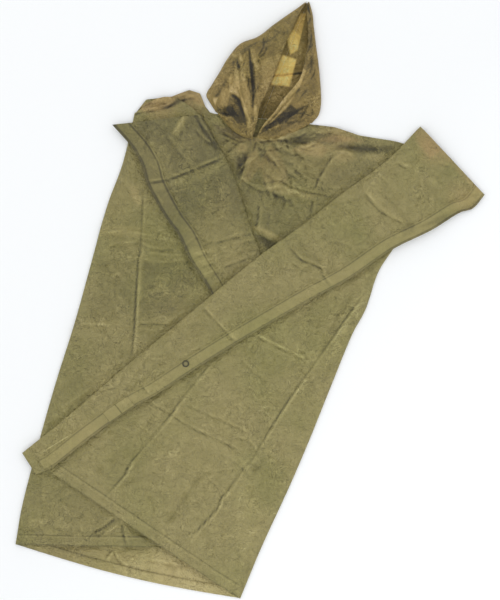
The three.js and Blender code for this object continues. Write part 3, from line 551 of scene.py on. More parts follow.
def fineRelief(zone, x, y):
    height = np.zeros(x.shape)
    tone = np.zeros(x.shape)
    drawn = handDrawn(creases[zone]) + randomWrinkles(zone)
    if zone == "body":
        drawn = drawn + gatherWrinkles(*gather["chestAngles"], gather["chestReach"], gather["chestCount"],
                                       gather["seed"], gather["chestTone"])
    for points, kind, rise, width, shade in drawn:
        path = smoothLine(points, 5)
        width *= millimetre
        reach = width * profile["pressedReach" if kind == "pack" else "softReach"] + profile["margin"]
        near = ((x > path[:, 0].min() - reach) & (x < path[:, 0].max() + reach)
                & (y > path[:, 1].min() - reach) & (y < path[:, 1].max() + reach))
        if not near.any():
            continue
        off, share, side = distanceTo(path, x[near], y[near])
        ends = smooth(share / profile["fade"]) * smooth((1 - share) / profile["fade"])
        # The phase only has to differ from crease to crease
        uneven = profile["even"] + profile["uneven"] * np.sin(share * 17 + len(points) * 2.1 + width * 900)
        # Pressed creases get a line of painted shade and a painted highlight beside it; soft ones get painted
        # highlight along ridges and painted shade along troughs
        if kind == "pack":
            form = profile["pressed"] * np.exp(-off / (profile["sharpness"] * width))
            line = np.exp(-(off / profile["line"]) ** 2)
            glint = np.exp(-((off * side - profile["glintPlace"]) / profile["glintWidth"]) ** 2)
            tone[near] += profile["pressedTone"] * ends * uneven * shade * (line - profile["glint"] * glint)
        else:
            form = 1 - smooth(off / width)
            soft = 1 - smooth(off / (width * profile["softWidth"]))
            tone[near] += profile["softTone"] * ends * uneven * shade * soft
        height[near] += rise * millimetre * form * ends * uneven
    height += film["airLift"] * (1 + 0.5 * waves(x, y, 5, film["airWave"]))
    height += film["ripple"] * waves(x, y, 8, film["rippleWave"], film["rippleCount"])
    reachable = np.ones(x.shape)
    for name in zonesAbove[zone]:
        reachable *= smooth((away(name, x, y) - film["underClear"]) / film["underMargin"])
    shown = reachable.copy()
    for name in zoneLines[zone]:
        off = distanceTo(lines[name]["curve"][::3], x, y)[0]
        reachable *= smooth((off - film["edgeClear"]) / film["edgeRise"])
    if zone in freeEdges:
        off = distanceTo(lines[freeEdges[zone]]["curve"][::2], x, y)[0]
        # A line of painted shade along the free edge
        tone -= film["freeShade"] * np.exp(-(off / film["freeLine"]) ** 2)
        wavy = 1 + 0.5 * waves(x, y, 12, film["freeWave"])
        height += film["freeLift"] * (1 - smooth(off / film["freeReach"])) * wavy
    # Two layers lie on each other, so the upper one can't go down into the lower one
    height = np.where(height > 0, height, -film["sink"] * np.tanh(-height / film["sink"]))
    return height * reachable, tone * shown


def heightAt(zone, order, x, y):
    layers = layersBelow(zone, x, y) + order
    relief = 0 if zone == "body" and order == 0 else broadRelief(zone, x, y)
    return cloth["wall"] / 2 + cloth["pitch"] * layers + relief


orders = {"back": {"body": 0, "Wing": 1, "Strip": 0}, "front": {"body": 1, "Wing": 0, "Strip": 1}}
arcAngles = np.radians([-90, -52, -18, 18, 52, 90])
up = np.array([0, 0, 1.0])


def nearTop(lengths):
    return smooth((lengths - shoulder["fadeStart"]) / (1 - shoulder["fadeStart"]))


def flatColumns(zone, order, x, y, faceSign, fine):
    z = heightAt(zone, order, x, y)
    tone = np.zeros(x.shape)
    if fine:
        lift, tone = fineRelief(zone, x, y)
        z = z + lift
    mid = np.stack([x, y, z], axis=-1)
    return {"mid": mid, "face": np.broadcast_to(up * faceSign, mid.shape), "tone": tone,
            "zone": np.full(x.shape, list(zoneLines).index(zone))}


def foldAt(name, side, lengths, lowZone, highZone):
    edge = at(name, lengths)
    awayFrom = outward(name, lengths, side)
    rise = heightAt(highZone, 1, edge[:, 0], edge[:, 1]) - heightAt(lowZone, 0, edge[:, 0], edge[:, 1])
    return {"place": edge - awayFrom * ((rise + cloth["wall"]) / 2)[:, None], "outward": awayFrom,
            "low": lowZone, "high": highZone}


def arcColumns(fold, lowOrder, highOrder, faceSign):
    place, awayFrom = fold["place"], fold["outward"]
    low = heightAt(fold["low"], lowOrder, place[:, 0], place[:, 1])
    high = heightAt(fold["high"], highOrder, place[:, 0], place[:, 1])
    radius = (high - low) / 2
    mids, faces = [], []
    for angle in arcAngles:
        direction = np.column_stack([awayFrom * math.cos(angle), np.full(len(low), math.sin(angle))])
        centre = np.column_stack([place, (low + high) / 2])
        mids.append(centre + direction * radius[:, None])
        faces.append(direction * faceSign)
    shape = (len(low), len(arcAngles))
    return {"mid": np.stack(mids, axis=1), "face": np.stack(faces, axis=1), "tone": np.zeros(shape),
            "zone": np.full(shape, list(zoneLines).index(fold["high"]))}


def turned(block):
    return {key: value[:, ::-1] for key, value in block.items()}


def joined(blocks):
    return {key: np.concatenate([block[key] for block in blocks], axis=1) for key in blocks[0]}


def between(first, second, shares):
    places = first[:, None, :] * (1 - shares[None, :, None]) + second[:, None, :] * shares[None, :, None]
    return places[..., 0], places[..., 1]


def leftStrip(panel, lengths, shares, fine):
    turn = foldAt("leftTurn", 1, lengths, "leftWing", "leftStrip")
    x, y = between(at("leftEdge", lengths), turn["place"], shares)
    return flatColumns("leftStrip", orders[panel]["Strip"], x, y, 1, fine)


# Lines of the weld at the hem: distance from the edge in metres, and tone. Below 0 is painted shade along the
# weld and at the edge, above 0 a painted highlight beside the weld.
hemLines = [(0.0235, -0.4), (0.0205, 0.22), (0.0, -0.3)]
bodyHemLines = [(0.0205, -0.6), (0.042, -0.25)]
hemLineWidth = 0.0016


def withHemLine(block, lengths, places):
    fromHem = lengths * cloth["length"]
    line = sum(depth * np.exp(-((fromHem - place) / hemLineWidth) ** 2) for place, depth in places)
    block["tone"] = block["tone"] + line[:, None]
    return block


def leftWing(panel, lengths, shares, fine):
    turn = foldAt("leftTurn", 1, lengths, "leftWing", "leftStrip")
    side = foldAt("leftSide", -1, lengths, "body", "leftWing")
    x, y = between(side["place"], turn["place"], shares)
    y = y + shoulder["wingRise"] * np.sin(np.pi * shares)[None, :] * nearTop(lengths)[:, None]
    return withHemLine(flatColumns("leftWing", orders[panel]["Wing"], x, y, -1, fine), lengths, hemLines)


def rightStrip(panel, lengths, shares, fine):
    turn = foldAt("rightTurn", -1, lengths, "rightWing", "rightStrip")
    x, y = between(turn["place"], at("rightEdge", lengths), shares)
    return flatColumns("rightStrip", orders[panel]["Strip"], x, y, 1, fine)


def rightWing(panel, lengths, shares, fine):
    side = foldAt("rightSide", 1, lengths, "body", "rightWing")
    turn = foldAt("rightTurn", -1, lengths, "rightWing", "rightStrip")
    x, y = between(side["place"], turn["place"], shares)
    return withHemLine(flatColumns("rightWing", orders[panel]["Wing"], x, y, -1, fine), lengths, hemLines)


def body(panel, lengths, shares, fine):
    left = foldAt("leftSide", -1, lengths, "body", "leftWing")
    right = foldAt("rightSide", 1, lengths, "body", "rightWing")
    x, y = between(left["place"], right["place"], shares)
    rise = np.interp(shares, shoulder["share"], shoulder["rise"])
    if panel == "front":
        rise = rise - np.interp(shares, shoulder["share"], shoulder["neckDrop"])
    y = y + rise[None, :] * nearTop(lengths)[:, None]
    nearHem = np.maximum(0, 1 - lengths / shoulder["hemBowEnd"])[:, None]
    y = y - shoulder["hemBow"] * np.sin(np.pi * shares)[None, :] * nearHem**2
    return withHemLine(flatColumns("body", orders[panel]["body"], x, y, 1, fine), lengths, bodyHemLines)


def foldArcs(panel, lengths):
    order = orders[panel]
    leftTurn = foldAt("leftTurn", 1, lengths, "leftWing", "leftStrip")
    leftSide = foldAt("leftSide", -1, lengths, "body", "leftWing")
    rightSide = foldAt("rightSide", 1, lengths, "body", "rightWing")
    rightTurn = foldAt("rightTurn", -1, lengths, "rightWing", "rightStrip")
    return {
        "leftTurn": turned(arcColumns(leftTurn, order["Wing"], order["Strip"], 1)),
        "leftSide": turned(arcColumns(leftSide, order["body"], order["Wing"], -1)),
        "rightSide": arcColumns(rightSide, order["body"], order["Wing"], -1),
        "rightTurn": arcColumns(rightTurn, order["Wing"], order["Strip"], 1),
    }


def shellMesh(name, block, thickness, along=None):
    mid, face = block["mid"], block["face"]
    rows, columns = mid.shape[:2]
    shift = np.array([planShift[0], planShift[1], 0])
    outer = (mid + face * thickness / 2 + shift).reshape(-1, 3)
    inner = (mid - face * thickness / 2 + shift).reshape(-1, 3)
    index = np.arange(rows * columns).reshape(rows, columns)
    a, b, c, d = index[:-1, :-1], index[:-1, 1:], index[1:, 1:], index[1:, :-1]
    top = np.stack([a, b, c, d], axis=-1).reshape(-1, 4)
    bottom = np.stack([a, d, c, b], axis=-1).reshape(-1, 4) + rows * columns
    ring = np.concatenate([index[0, :-1], index[:-1, -1], index[-1, :0:-1], index[:0:-1, 0]])
    after = np.roll(ring, -1)
    rim = np.stack([ring, ring + rows * columns, after + rows * columns, after], axis=-1)
    quads = np.concatenate([top, bottom, rim])
    mesh = bpy.data.meshes.new(name)
    mesh.vertices.add(2 * rows * columns)
    mesh.vertices.foreach_set("co", np.concatenate([outer, inner]).astype(np.float32).ravel())
    mesh.loops.add(4 * len(quads))
    mesh.loops.foreach_set("vertex_index", quads.astype(np.int32).ravel())
    mesh.polygons.add(len(quads))
    mesh.polygons.foreach_set("loop_start", np.arange(0, 4 * len(quads), 4, dtype=np.int32))
    mesh.update(calc_edges=True)
    mesh.polygons.foreach_set("use_smooth", np.ones(len(quads), bool))
    for key in ("tone", "tan"):
        values = block.get(key, np.zeros((rows, columns))).ravel()
        layer = mesh.attributes.new(key, "FLOAT", "POINT")
        layer.data.foreach_set("value", np.concatenate([values, values]).astype(np.float32))
    # The rim's edges stay sharp, so the thin edge doesn't round the shading of the sheet
    onRim = np.zeros(2 * rows * columns, bool)
    onRim[ring] = True
    onRim[ring + rows * columns] = True
    pairs = np.empty(2 * len(mesh.edges), np.int32)
    mesh.edges.foreach_get("vertices", pairs)
    pairs = pairs.reshape(-1, 2)
    sharp = mesh.attributes.new("sharp_edge", "BOOLEAN", "EDGE")
    sharp.data.foreach_set("value", onRim[pairs].all(axis=1))
    uv = mesh.uv_layers.new(name="cut")
    u = np.linspace(0, 1, columns)[None, :].repeat(rows, 0).ravel()
    v = (np.linspace(0, 1, rows) if along is None else along)[:, None].repeat(columns, 1).ravel()
    cornerOf = quads.ravel() % (rows * columns)
    uv.data.foreach_set("uv", np.column_stack([u[cornerOf], v[cornerOf]]).astype(np.float32).ravel())
    mesh.validate()
    piece = bpy.data.objects.new(name, mesh)
    bpy.context.collection.objects.link(piece)
    return piece


# Hood: two halves, each from the seam underneath, round its side and back over to its rim
# The hood's tones are painted light and shade: lit and shaded faces, shade and highlight along creases, shade
# inside towards the neck and along a cross fold, and light coming through the film
hood = {
    "left": {"outward": -1, "edgeRadius": 0.007, "crown": 0.008, "rimLift": 0.009, "pleats": 3,
             "pleatDepth": 0.0024, "side": "hoodLeftSide", "rim": "hoodLeftRim", "gatherAngles": (80, 205)},
    "right": {"outward": 1, "edgeRadius": 0.0045, "crown": 0.002, "rimLift": 0.007, "pleats": 1,
              "pleatDepth": 0.0008, "side": "hoodRightSide", "rim": "hoodRightRim", "gatherAngles": (15, 85)},
    "wall": 0.0012, "seamGap": 0.0003, "neckBow": 0.012, "neckEnd": 0.22, "rimSlope": 0.4, "endFade": 0.05,
    "seamFade": 0.12, "tone": -0.1, "paneTone": 1.4, "paneEdge": 0.004, "rise": 0.32, "fade": 0.1,
    "pressedTone": 0.85, "pressedWidth": 0.4, "softTone": 0.4, "softWidth": 0.6, "puff": 0.0007,
    "insideTone": 0.05, "lowShade": 0.3, "lowFrom": 0.45, "lowReach": 0.05, "goldLight": 0.5,
    "crossFold": {"place": (0.08, 0.4815), "slope": 0.1, "width": 0.0022, "tone": 0.9},
}
# Creases of the hood: points, kind, height and half width in millimetres, and painted shade (below 0) or
# painted highlight (above 0) along it
hoodCreases = {
    "left": [
        ([(-30, 484), (-22, 455), (-10, 415), (4, 372)], "ridge", 5, 12, 0.3),
        ([(-17, 430), (-6, 402), (3, 378)], "ridge", 3, 6, 0.5),
        ([(-14, 500), (-9, 462), (-2, 425), (4, 395)], "ridge", 3, 7, 0.35),
        ([(-26, 530), (-19, 515), (-14, 505)], "ridge", 4, 8, 0.35),
        ([(0, 530), (10, 505), (18, 488)], "ridge", 3.5, 9, 0.4),
        ([(9, 470), (16, 440), (19, 410)], "ridge", 3, 6, 0.35),
        ([(-1, 540), (2, 500), (7, 455), (6, 400)], "pack", -4, 6, -0.8),
        ([(-40, 436), (-26, 427), (-16, 405), (-4, 376)], "pack", -5, 8, -0.9),
        ([(-34, 510), (-35, 480), (-38, 455)], "pack", -2.5, 8, -0.5),
        ([(-74, 430), (-58, 452), (-48, 470)], "pack", -2.5, 9, -0.5),
        ([(-80, 428), (-72, 415)], "ridge", 3.5, 6, 0.8),
        ([(-59, 452), (-55, 430), (-60, 412)], "ridge", 3, 9, 0.35),
        ([(-60, 411), (-47, 409)], "ridge", 2.5, 6, 0.5),
        ([(-77, 402), (-50, 395), (-28, 392)], "pack", -3, 8, -0.6),
        ([(22, 500), (34, 480), (42, 460)], "ridge", 1.8, 6, 0.3),
        ([(18, 545), (40, 550), (62, 566)], "pack", -1.6, 6, -0.4),
        ([(10, 520), (30, 525), (52, 532)], "ridge", 1.8, 5, 0.25),
        ([(12, 505), (30, 512), (58, 520)], "pack", -1.4, 4, -0.35),
        ([(24, 495), (40, 500), (56, 503)], "ridge", 1.6, 4, 0.3),
        ([(24, 470), (38, 472), (48, 478)], "pack", -1.4, 4, -0.3),
        ([(22, 455), (34, 455), (43, 462)], "ridge", 1.6, 4, 0.3),
        ([(20, 432), (28, 436), (34, 443)], "pack", -1.4, 4, -0.3),
        ([(60, 590), (80, 580), (92, 590)], "ridge", 1.8, 6, 0.2),
        ([(50, 575), (70, 565), (84, 572)], "pack", -1.5, 5, -0.3),
    ],
    "right": [
        ([(12, 357), (40, 392), (72, 428), (98, 462), (124, 508)], "ridge", 4.5, 10, 0.25),
        ([(20, 352), (50, 388), (82, 424), (110, 455)], "pack", -3, 7, -0.8),
        ([(21, 355), (60, 370), (108, 390)], "ridge", 3, 6, 0.5),
        ([(84, 408), (108, 420), (126, 436)], "ridge", 2.2, 8, 0.3),
        ([(95, 450), (118, 465), (130, 478)], "ridge", 1.8, 6, 0.25),
        ([(128, 520), (132, 500), (128, 480)], "pack", -1.6, 5, -0.3),
        ([(60, 376), (90, 378), (120, 384)], "pack", -2.4, 7, -0.4),
    ],
}
# Faces of the hood's folds that catch the light (above 0) or turn away from it: corners in millimetres
hoodPanes = [
    ([(-60, 405), (0, 395), (60, 395), (125, 410), (110, 385), (55, 352), (0, 342), (-40, 372)], -0.12),
    ([(-44, 471), (-36, 486), (-24, 486), (-21, 443), (6, 366), (-4, 366), (-21, 430), (-43, 443)], 0.42),
    ([(-21, 505), (-15, 509), (0, 432), (2, 389), (-6, 407), (-19, 460)], 0.2),
    ([(-24, 533), (-13, 509), (-21, 509)], 0.35),
    ([(0, 535), (11, 531), (19, 488), (9, 496)], 0.22),
    ([(-60, 454), (-39, 445), (-30, 415), (-56, 411), (-64, 419)], 0.2),
    ([(-78, 430), (-68, 430), (-75, 411)], 0.7),
    ([(9, 413), (15, 411), (17, 377), (9, 381)], 0.35),
    ([(26, 514), (68, 522), (43, 445), (26, 449)], 0.16),
    ([(-41, 441), (-21, 426), (-6, 370), (-26, 377), (-51, 402)], -0.3),
    ([(-77, 411), (-34, 411), (-30, 394), (-64, 392)], -0.3),
    ([(0, 505), (9, 501), (13, 449), (4, 441)], -0.45),
    ([(-26, 509), (-19, 492), (-26, 488), (-28, 505)], -0.45),
    ([(9, 355), (71, 430), (98, 467), (113, 492), (120, 488), (107, 454), (86, 419), (26, 355)], 0.45),
    ([(17, 351), (86, 415), (107, 402), (73, 381), (30, 357)], -0.45),
    ([(107, 556), (133, 578), (133, 514), (116, 509)], -0.1),
    ([(118, 645), (128, 640), (135, 603), (124, 616)], -0.5),
    ([(-100, 450), (-30, 552), (30, 580), (20, 550), (-40, 500), (-75, 450)], -0.22),
]
# Small wrinkles that run out from the point where the hood is gathered into the neck, with painted shade
# along the pressed ones and painted highlight along the soft ones
gather = {
    "x": 0.0086, "y": 0.352, "seed": 41, "hoodCount": 150, "hoodReach": 0.26, "chestCount": 170,
    "chestReach": 0.16, "chestAngles": (-178, 8), "chestTone": 1.4, "turn": 22, "length": (0.015, 0.06),
    "bend": 0.15, "sharpShare": 0.4, "rise": (0.8, 2.4), "width": (2.5, 6.5), "dark": (-0.6, -0.15),
    "light": (-0.05, 0.38),
}
# Where the film inside the hood catches the light that comes through it: corners in millimetres, strength
goldPanes = [
    ([(109, 612), (121, 612), (109, 561), (93, 577)], 0.5),
    ([(93, 577), (109, 562), (102, 533), (87, 524), (80, 556)], 0.95),
    ([(70, 524), (100, 514), (85, 456), (46, 460)], 1),
]


def insideOf(corners, x, y, soft=0.004):
    ring = np.array([*corners, corners[0]]) * millimetre
    inside = np.zeros(x.shape, bool)
    for (ax, ay), (bx, by) in zip(ring[:-1], ring[1:]):
        if ay != by:
            inside ^= ((ay > y) != (by > y)) & (x < ax + (y - ay) / (by - ay) * (bx - ax))
    off = distanceTo(ring, x, y)[0]
    return smooth(0.5 + np.where(inside, off, -off) / soft)


def gatherWrinkles(fromAngle, toAngle, reach, count, seed, strength=1):
    draw = np.random.default_rng(seed)
    made = []
    for _ in range(count):
        angle = math.radians(draw.uniform(fromAngle, toAngle))
        start = np.array([gather["x"], gather["y"]])
        start = start + draw.uniform(0.02, 1) ** 0.8 * reach * np.array([math.cos(angle), math.sin(angle)])
        angle += math.radians(draw.normal(0, gather["turn"]))
        along = np.array([math.cos(angle), math.sin(angle)])
        length = draw.uniform(*gather["length"])
        bend = np.array([-along[1], along[0]]) * draw.uniform(-gather["bend"], gather["bend"]) * length
        sharp = draw.random() < gather["sharpShare"]
        rise = draw.uniform(*gather["rise"]) * strength
        made.append(([start, start + along * length / 2 + bend, start + along * length],
                     "pack" if sharp else "ridge", -rise if sharp else rise, draw.uniform(*gather["width"]),
                     strength * draw.uniform(*gather["dark" if sharp else "light"])))
    return made


def hoodRelief(name, x, y):
    height = np.zeros(x.shape)
    tone = np.full(x.shape, hood["tone"])
    angles = hood[name]["gatherAngles"]
    extra = gatherWrinkles(*angles, gather["hoodReach"], gather["hoodCount"], gather["seed"] + angles[0])
    for corners, shade in hoodPanes:
        tone += hood["paneTone"] * shade * insideOf(corners, x, y, hood["paneEdge"])
    for points, kind, rise, width, shade in handDrawn(hoodCreases[name]) + extra:
        off, share, side = distanceTo(smoothLine(points, 6), x, y)
        width *= millimetre
        ends = smooth(share / hood["fade"]) * smooth((1 - share) / hood["fade"])
        # Pressed creases get a line of painted shade; soft ones painted highlight along ridges and painted
        # shade along troughs
        if kind == "pack":
            form = np.exp(-off / width)
            tone += hood["pressedTone"] * ends * shade * np.exp(-(off / (width * hood["pressedWidth"])) ** 2)
        else:
            form = 1 - smooth(off / width)
            tone += hood["softTone"] * ends * shade * (1 - smooth(off / (width * hood["softWidth"])))
        height += hood["rise"] * rise * millimetre * form * ends
    height += hood["puff"] * waves(x, y, 31, (0.010, 0.035), 16)
    return height, tone


def hoodBlock(name, rows, underShares, overShares):
    half = hood[name]
    length = np.linspace(0, 1, rows)
    seam = at("hoodSeam", length) + np.array([half["outward"] * hood["seamGap"] / 2, 0])
    side, rim = at(half["side"], length), at(half["rim"], length)
    swell = np.sqrt(np.clip(np.sin(np.pi * length), 0, 1))
    radius = cloth["pitch"] + half["edgeRadius"] * swell
    out = outward(half["side"], length, half["outward"])
    out[:, 0] = half["outward"] * np.abs(out[:, 0])
    turn = side - out * (radius + hood["wall"] / 2)[:, None]
    floor = hood["wall"] / 2
    ux, uy = between(seam, turn, underShares)
    blocks = [np.stack([ux, uy, np.full(ux.shape, floor)], axis=-1)]
    underLight = sum(insideOf(corners, ux, uy) * strength for corners, strength in goldPanes)
    angles = np.radians(np.linspace(-90, 90, 15))
    reach = turn[:, None, :] + out[:, None, :] * (radius[:, None] * np.cos(angles))[..., None]
    arcZ = floor + radius[:, None] * (1 + np.sin(angles))
    blocks.append(np.concatenate([reach, arcZ[..., None]], axis=-1))
    ox, oy = between(turn, rim, overShares)
    bow = np.sin(np.pi * overShares)[None, :]
    oy = oy - hood["neckBow"] * bow * np.maximum(0, 1 - length / hood["neckEnd"])[:, None] ** 2
    width = np.linalg.norm(turn - rim, axis=1)[:, None]
    lift = np.minimum(half["rimLift"] * swell[:, None], hood["rimSlope"] * width)
    crown = np.minimum(half["crown"], 0.1 * width) * swell[:, None] * bow
    pleat = half["pleatDepth"] * np.sin(2 * np.pi * half["pleats"] * overShares)[None, :] * bow
    pleat = pleat * swell[:, None] * smooth(1.6 - 2 * length)[:, None]
    extra, tone = hoodRelief(name, ox, oy)
    bothEnds = smooth(length / hood["endFade"]) * smooth((1 - length) / hood["endFade"])
    edge = smooth(overShares / hood["seamFade"])[None, :] * bothEnds[:, None]
    extra = np.maximum(extra, -0.6 * (lift * overShares[None, :] + crown + radius[:, None]))
    oz = floor + 2 * radius[:, None] + lift * overShares[None, :] + crown + pleat + extra * edge
    blocks.append(np.stack([ox, oy, oz], axis=-1))
    mid = np.concatenate(blocks, axis=1)
    # Inside the hood: a line of painted shade along a cross fold, painted shade towards the neck, and painted
    # light where light comes through the film
    fold = hood["crossFold"]
    fromFold = uy - fold["place"][1] - fold["slope"] * (ux - fold["place"][0])
    crossLine = fold["tone"] * np.exp(-(fromFold / fold["width"]) ** 2)
    low = hood["lowShade"] * smooth((hood["lowFrom"] - uy) / hood["lowReach"])
    underTone = hood["insideTone"] - crossLine - low + hood["goldLight"] * np.minimum(underLight, 1)
    allTone = np.concatenate([underTone, np.zeros(arcZ.shape), tone * edge], axis=1)
    allLight = np.concatenate([underLight, np.zeros(arcZ.shape), np.zeros(ox.shape)], axis=1)
    if half["outward"] > 0:
        mid, allTone, allLight = mid[:, ::-1], allTone[:, ::-1], allLight[:, ::-1]
    across = np.gradient(mid, axis=1)
    along = np.gradient(mid, axis=0)
    face = -np.cross(across, along)
    size = np.linalg.norm(face, axis=-1, keepdims=True)
    face = np.where(size > 1e-12, face / np.maximum(size, 1e-12), up)
    # Columns run so that the walls' outer side looks out of the hood
    return {"mid": mid[:, ::-1], "face": face[:, ::-1], "tone": allTone[:, ::-1], "tan": allLight[:, ::-1]}


def hexColour(text):
    channels = [int(text[i:i + 2], 16) / 255 for i in (1, 3, 5)]
    return tuple(c / 12.92 if c < 0.04045 else ((c + 0.055) / 1.055) ** 2.4 for c in channels) + (1,)


def addNode(tree, kind, settings, links=None):
    node = tree.nodes.new(kind)
    for key, value in settings.items():
        if key == "stops":
            ramp = node.color_ramp.elements
            for _ in value[2:]:
                ramp.new(0.5)
            for number, (place, colour) in enumerate(value):
                ramp[number].position = place
                ramp[number].color = hexColour(colour)
        elif isinstance(key, int) or key in node.inputs:
            node.inputs[key].default_value = value
        else:
            setattr(node, key, value)
    for key, source in (links or {}).items():
        tree.links.new(source, node.inputs[key])
    return node


# Noise of the film, in cycles per metre, and how it is used
grain = {
    "mottle": {"Scale": 13, "Detail": 5, "Roughness": 0.65, "Distortion": 0.6},
    "crackle": {"Scale": 95, "Detail": 5, "Roughness": 0.62, "Distortion": 1.4},
    "patches": {"Scale": 5, "Detail": 3},
    "lines": {"Detail": 2.5, "Roughness": 0.55, "Distortion": 1.3},
    "crinkle": {"Scale": 110, "Detail": 5, "Roughness": 0.6, "Distortion": 1.6},
    "pucker": {"Scale": 34, "Detail": 4, "Roughness": 0.6, "Distortion": 2.2},
    "toneShare": 0.5, "lineSink": -0.6, "greenTint": "#dfeac8", "roughnessSpread": 0.16,
    "linePlaces": {"From Min": 0.40, "From Max": 0.62}, "greenPlaces": {"From Min": 0.42, "From Max": 0.62},
    "crinkleDepth": 0.005, "puckerDepth": 0.016, "lineDepth": 0.0012, "lineBump": 0.8, "refraction": 1.52,
}


def calculated(tree, operation, *values):
    settings = {"operation": operation}
    links = {}
    for slot, value in enumerate(values):
        (settings if isinstance(value, (int, float)) else links)[slot] = value
    return addNode(tree, "ShaderNodeMath", settings, links).outputs[0]


def bumped(tree, strength, depth, height, normal=None):
    links = {"Height": height} if normal is None else {"Height": height, "Normal": normal}
    return addNode(tree, "ShaderNodeBump", {"Strength": strength, "Distance": depth}, links).outputs["Normal"]


def filmMaterial(name, look):
    # Calendered PVC film: a soft, slightly greasy sheen, a fine grain and thin crinkle lines, partly the pale
    # lines of old creases and partly painted highlight and painted shade
    material = bpy.data.materials.new(name)
    material.use_nodes = True
    tree = material.node_tree
    tree.nodes.clear()
    place = addNode(tree, "ShaderNodeTexCoord", {}).outputs["Object"]
    tone = addNode(tree, "ShaderNodeAttribute", {"attribute_name": "tone"}).outputs["Fac"]
    tan = addNode(tree, "ShaderNodeAttribute", {"attribute_name": "tan"}).outputs["Fac"]

    def noise(settings):
        return addNode(tree, "ShaderNodeTexNoise", settings, {"Vector": place}).outputs["Fac"]

    mottle, crackle, patches = (noise(grain[key]) for key in ("mottle", "crackle", "patches"))
    middle = 0.5 - (look["mottle"] + look["crackle"]) / 2
    level = calculated(tree, "MULTIPLY_ADD", mottle, look["mottle"], middle)
    level = calculated(tree, "MULTIPLY_ADD", crackle, look["crackle"], level)
    level = calculated(tree, "MULTIPLY_ADD", tone, grain["toneShare"], level)
    # Thin crinkle lines run where a bent noise crosses a level: the lighter ones partly pale lines of old
    # creases and partly painted highlight, the darker ones painted shade. They are drawn 2 to 4 mm wide,
    # coarser than real ones, so that they show.
    height = 0
    for scale, crossing, wide, strength in look["lines"]:
        bent = noise({"Scale": scale, **grain["lines"]})
        off = calculated(tree, "ABSOLUTE", calculated(tree, "SUBTRACT", bent, crossing))
        line = addNode(tree, "ShaderNodeMapRange", {"From Max": wide, "To Min": 1, "To Max": 0},
                       {"Value": off})
        where = addNode(tree, "ShaderNodeMapRange", grain["linePlaces"], {"Value": mottle})
        line = calculated(tree, "MULTIPLY", line.outputs[0], where.outputs[0])
        level = calculated(tree, "MULTIPLY_ADD", line, strength, level)
        height = calculated(tree, "MULTIPLY_ADD", line, 1 if strength > 0 else grain["lineSink"], height)
    ramp = addNode(tree, "ShaderNodeValToRGB", {"stops": look["stops"]}, {"Fac": level})
    greener = addNode(tree, "ShaderNodeMapRange", {**grain["greenPlaces"], "To Max": look["green"]},
                      {"Value": patches})
    olive = addNode(tree, "ShaderNodeMix", {"data_type": "RGBA", "blend_type": "MULTIPLY",
                                            7: hexColour(grain["greenTint"])},
                    {0: greener.outputs[0], 6: ramp.outputs["Color"]})
    # Where the painted tan light is set, the colour comes from its own ramp: light that comes through the
    # film
    tanLit = addNode(tree, "ShaderNodeValToRGB", {"stops": look["tan"]}, {"Fac": level})
    mixed = addNode(tree, "ShaderNodeMix", {"data_type": "RGBA"},
                    {0: tan, 6: olive.outputs[2], 7: tanLit.outputs["Color"]})
    normal = bumped(tree, look["bump"], grain["crinkleDepth"], noise(grain["crinkle"]))
    normal = bumped(tree, look["pucker"], grain["puckerDepth"], noise(grain["pucker"]), normal)
    normal = bumped(tree, grain["lineBump"], grain["lineDepth"], height, normal)
    spread = grain["roughnessSpread"]
    rough = calculated(tree, "MULTIPLY_ADD", mottle, spread, look["roughness"] - spread / 2)
    shader = addNode(tree, "ShaderNodeBsdfPrincipled",
                     {"IOR": grain["refraction"], "Specular IOR Level": look["specular"]},
                     {"Base Color": mixed.outputs[2], "Roughness": rough, "Normal": normal})
    addNode(tree, "ShaderNodeOutputMaterial", {}, {"Surface": shader.outputs["BSDF"]})
    return material


# Colours from dark to light: place on the ramp and sRGB colour. The tone moves the colour down a ramp for
# painted shade and up it for painted light; the tan and gold ramps are the colours of painted light that
# comes through the film.
oliveStops = [(0, "#2b2610"), (0.25, "#5a522a"), (0.5, "#91864f"), (0.72, "#ab9d64"), (1, "#d2c588")]
tanLightStops = [(0, "#3f3218"), (0.5, "#a38a54"), (1, "#c4a96e")]
hoodStops = [(0, "#2b230e"), (0.25, "#5c4e26"), (0.5, "#9a8246"), (0.75, "#c0a566"), (1, "#e0c68c")]
goldStops = [(0, "#5a4318"), (0.5, "#fac863"), (0.75, "#ffdc78"), (1, "#fff0a0")]
studStops = [(0, "#2a2814"), (0.5, "#726a40"), (0.75, "#8a8052"), (1, "#9c925f")]
# Lines: scale, the level that they follow, half width on the noise and strength (below 0 is darker, painted
# shade; above 0 lighter, partly pale crease lines and partly painted highlight)
materials = {
    "coated_cloth": filmMaterial("PVC film, calendered, olive", {
        "stops": oliveStops, "tan": tanLightStops, "mottle": 0.30, "crackle": 0.22, "bump": 0.85, "pucker": 0.65,
        "lines": [(26, 0.50, 0.030, 0.20), (34, 0.46, 0.022, -0.20), (60, 0.52, 0.030, 0.14)],
        "green": 0.5, "roughness": 0.34, "specular": 0.55}),
    "welded_band": filmMaterial("PVC film, welded double band", {
        "stops": oliveStops, "tan": tanLightStops, "mottle": 0.24, "crackle": 0.18, "bump": 0.6, "pucker": 0.3,
        "lines": [(30, 0.50, 0.024, 0.12), (40, 0.46, 0.020, -0.12)],
        "green": 0.5, "roughness": 0.40, "specular": 0.5}),
    "hood_cloth": filmMaterial("PVC film, thin hood sheet", {
        "stops": hoodStops, "tan": goldStops, "mottle": 0.40, "crackle": 0.32, "bump": 0.9, "pucker": 0.8,
        "lines": [(40, 0.50, 0.040, 0.24), (52, 0.46, 0.036, -0.26), (75, 0.53, 0.045, 0.16)],
        "green": 0.5, "roughness": 0.44, "specular": 0.5}),
    "press_stud": filmMaterial("Acetal press stud, moulded", {
        "stops": studStops, "tan": tanLightStops, "mottle": 0.06, "crackle": 0.04, "bump": 0.05, "pucker": 0.02,
        "lines": [(90, 0.5, 0.02, 0.03)], "green": 0, "roughness": 0.35, "specular": 0.5}),
}
print("materials ready")
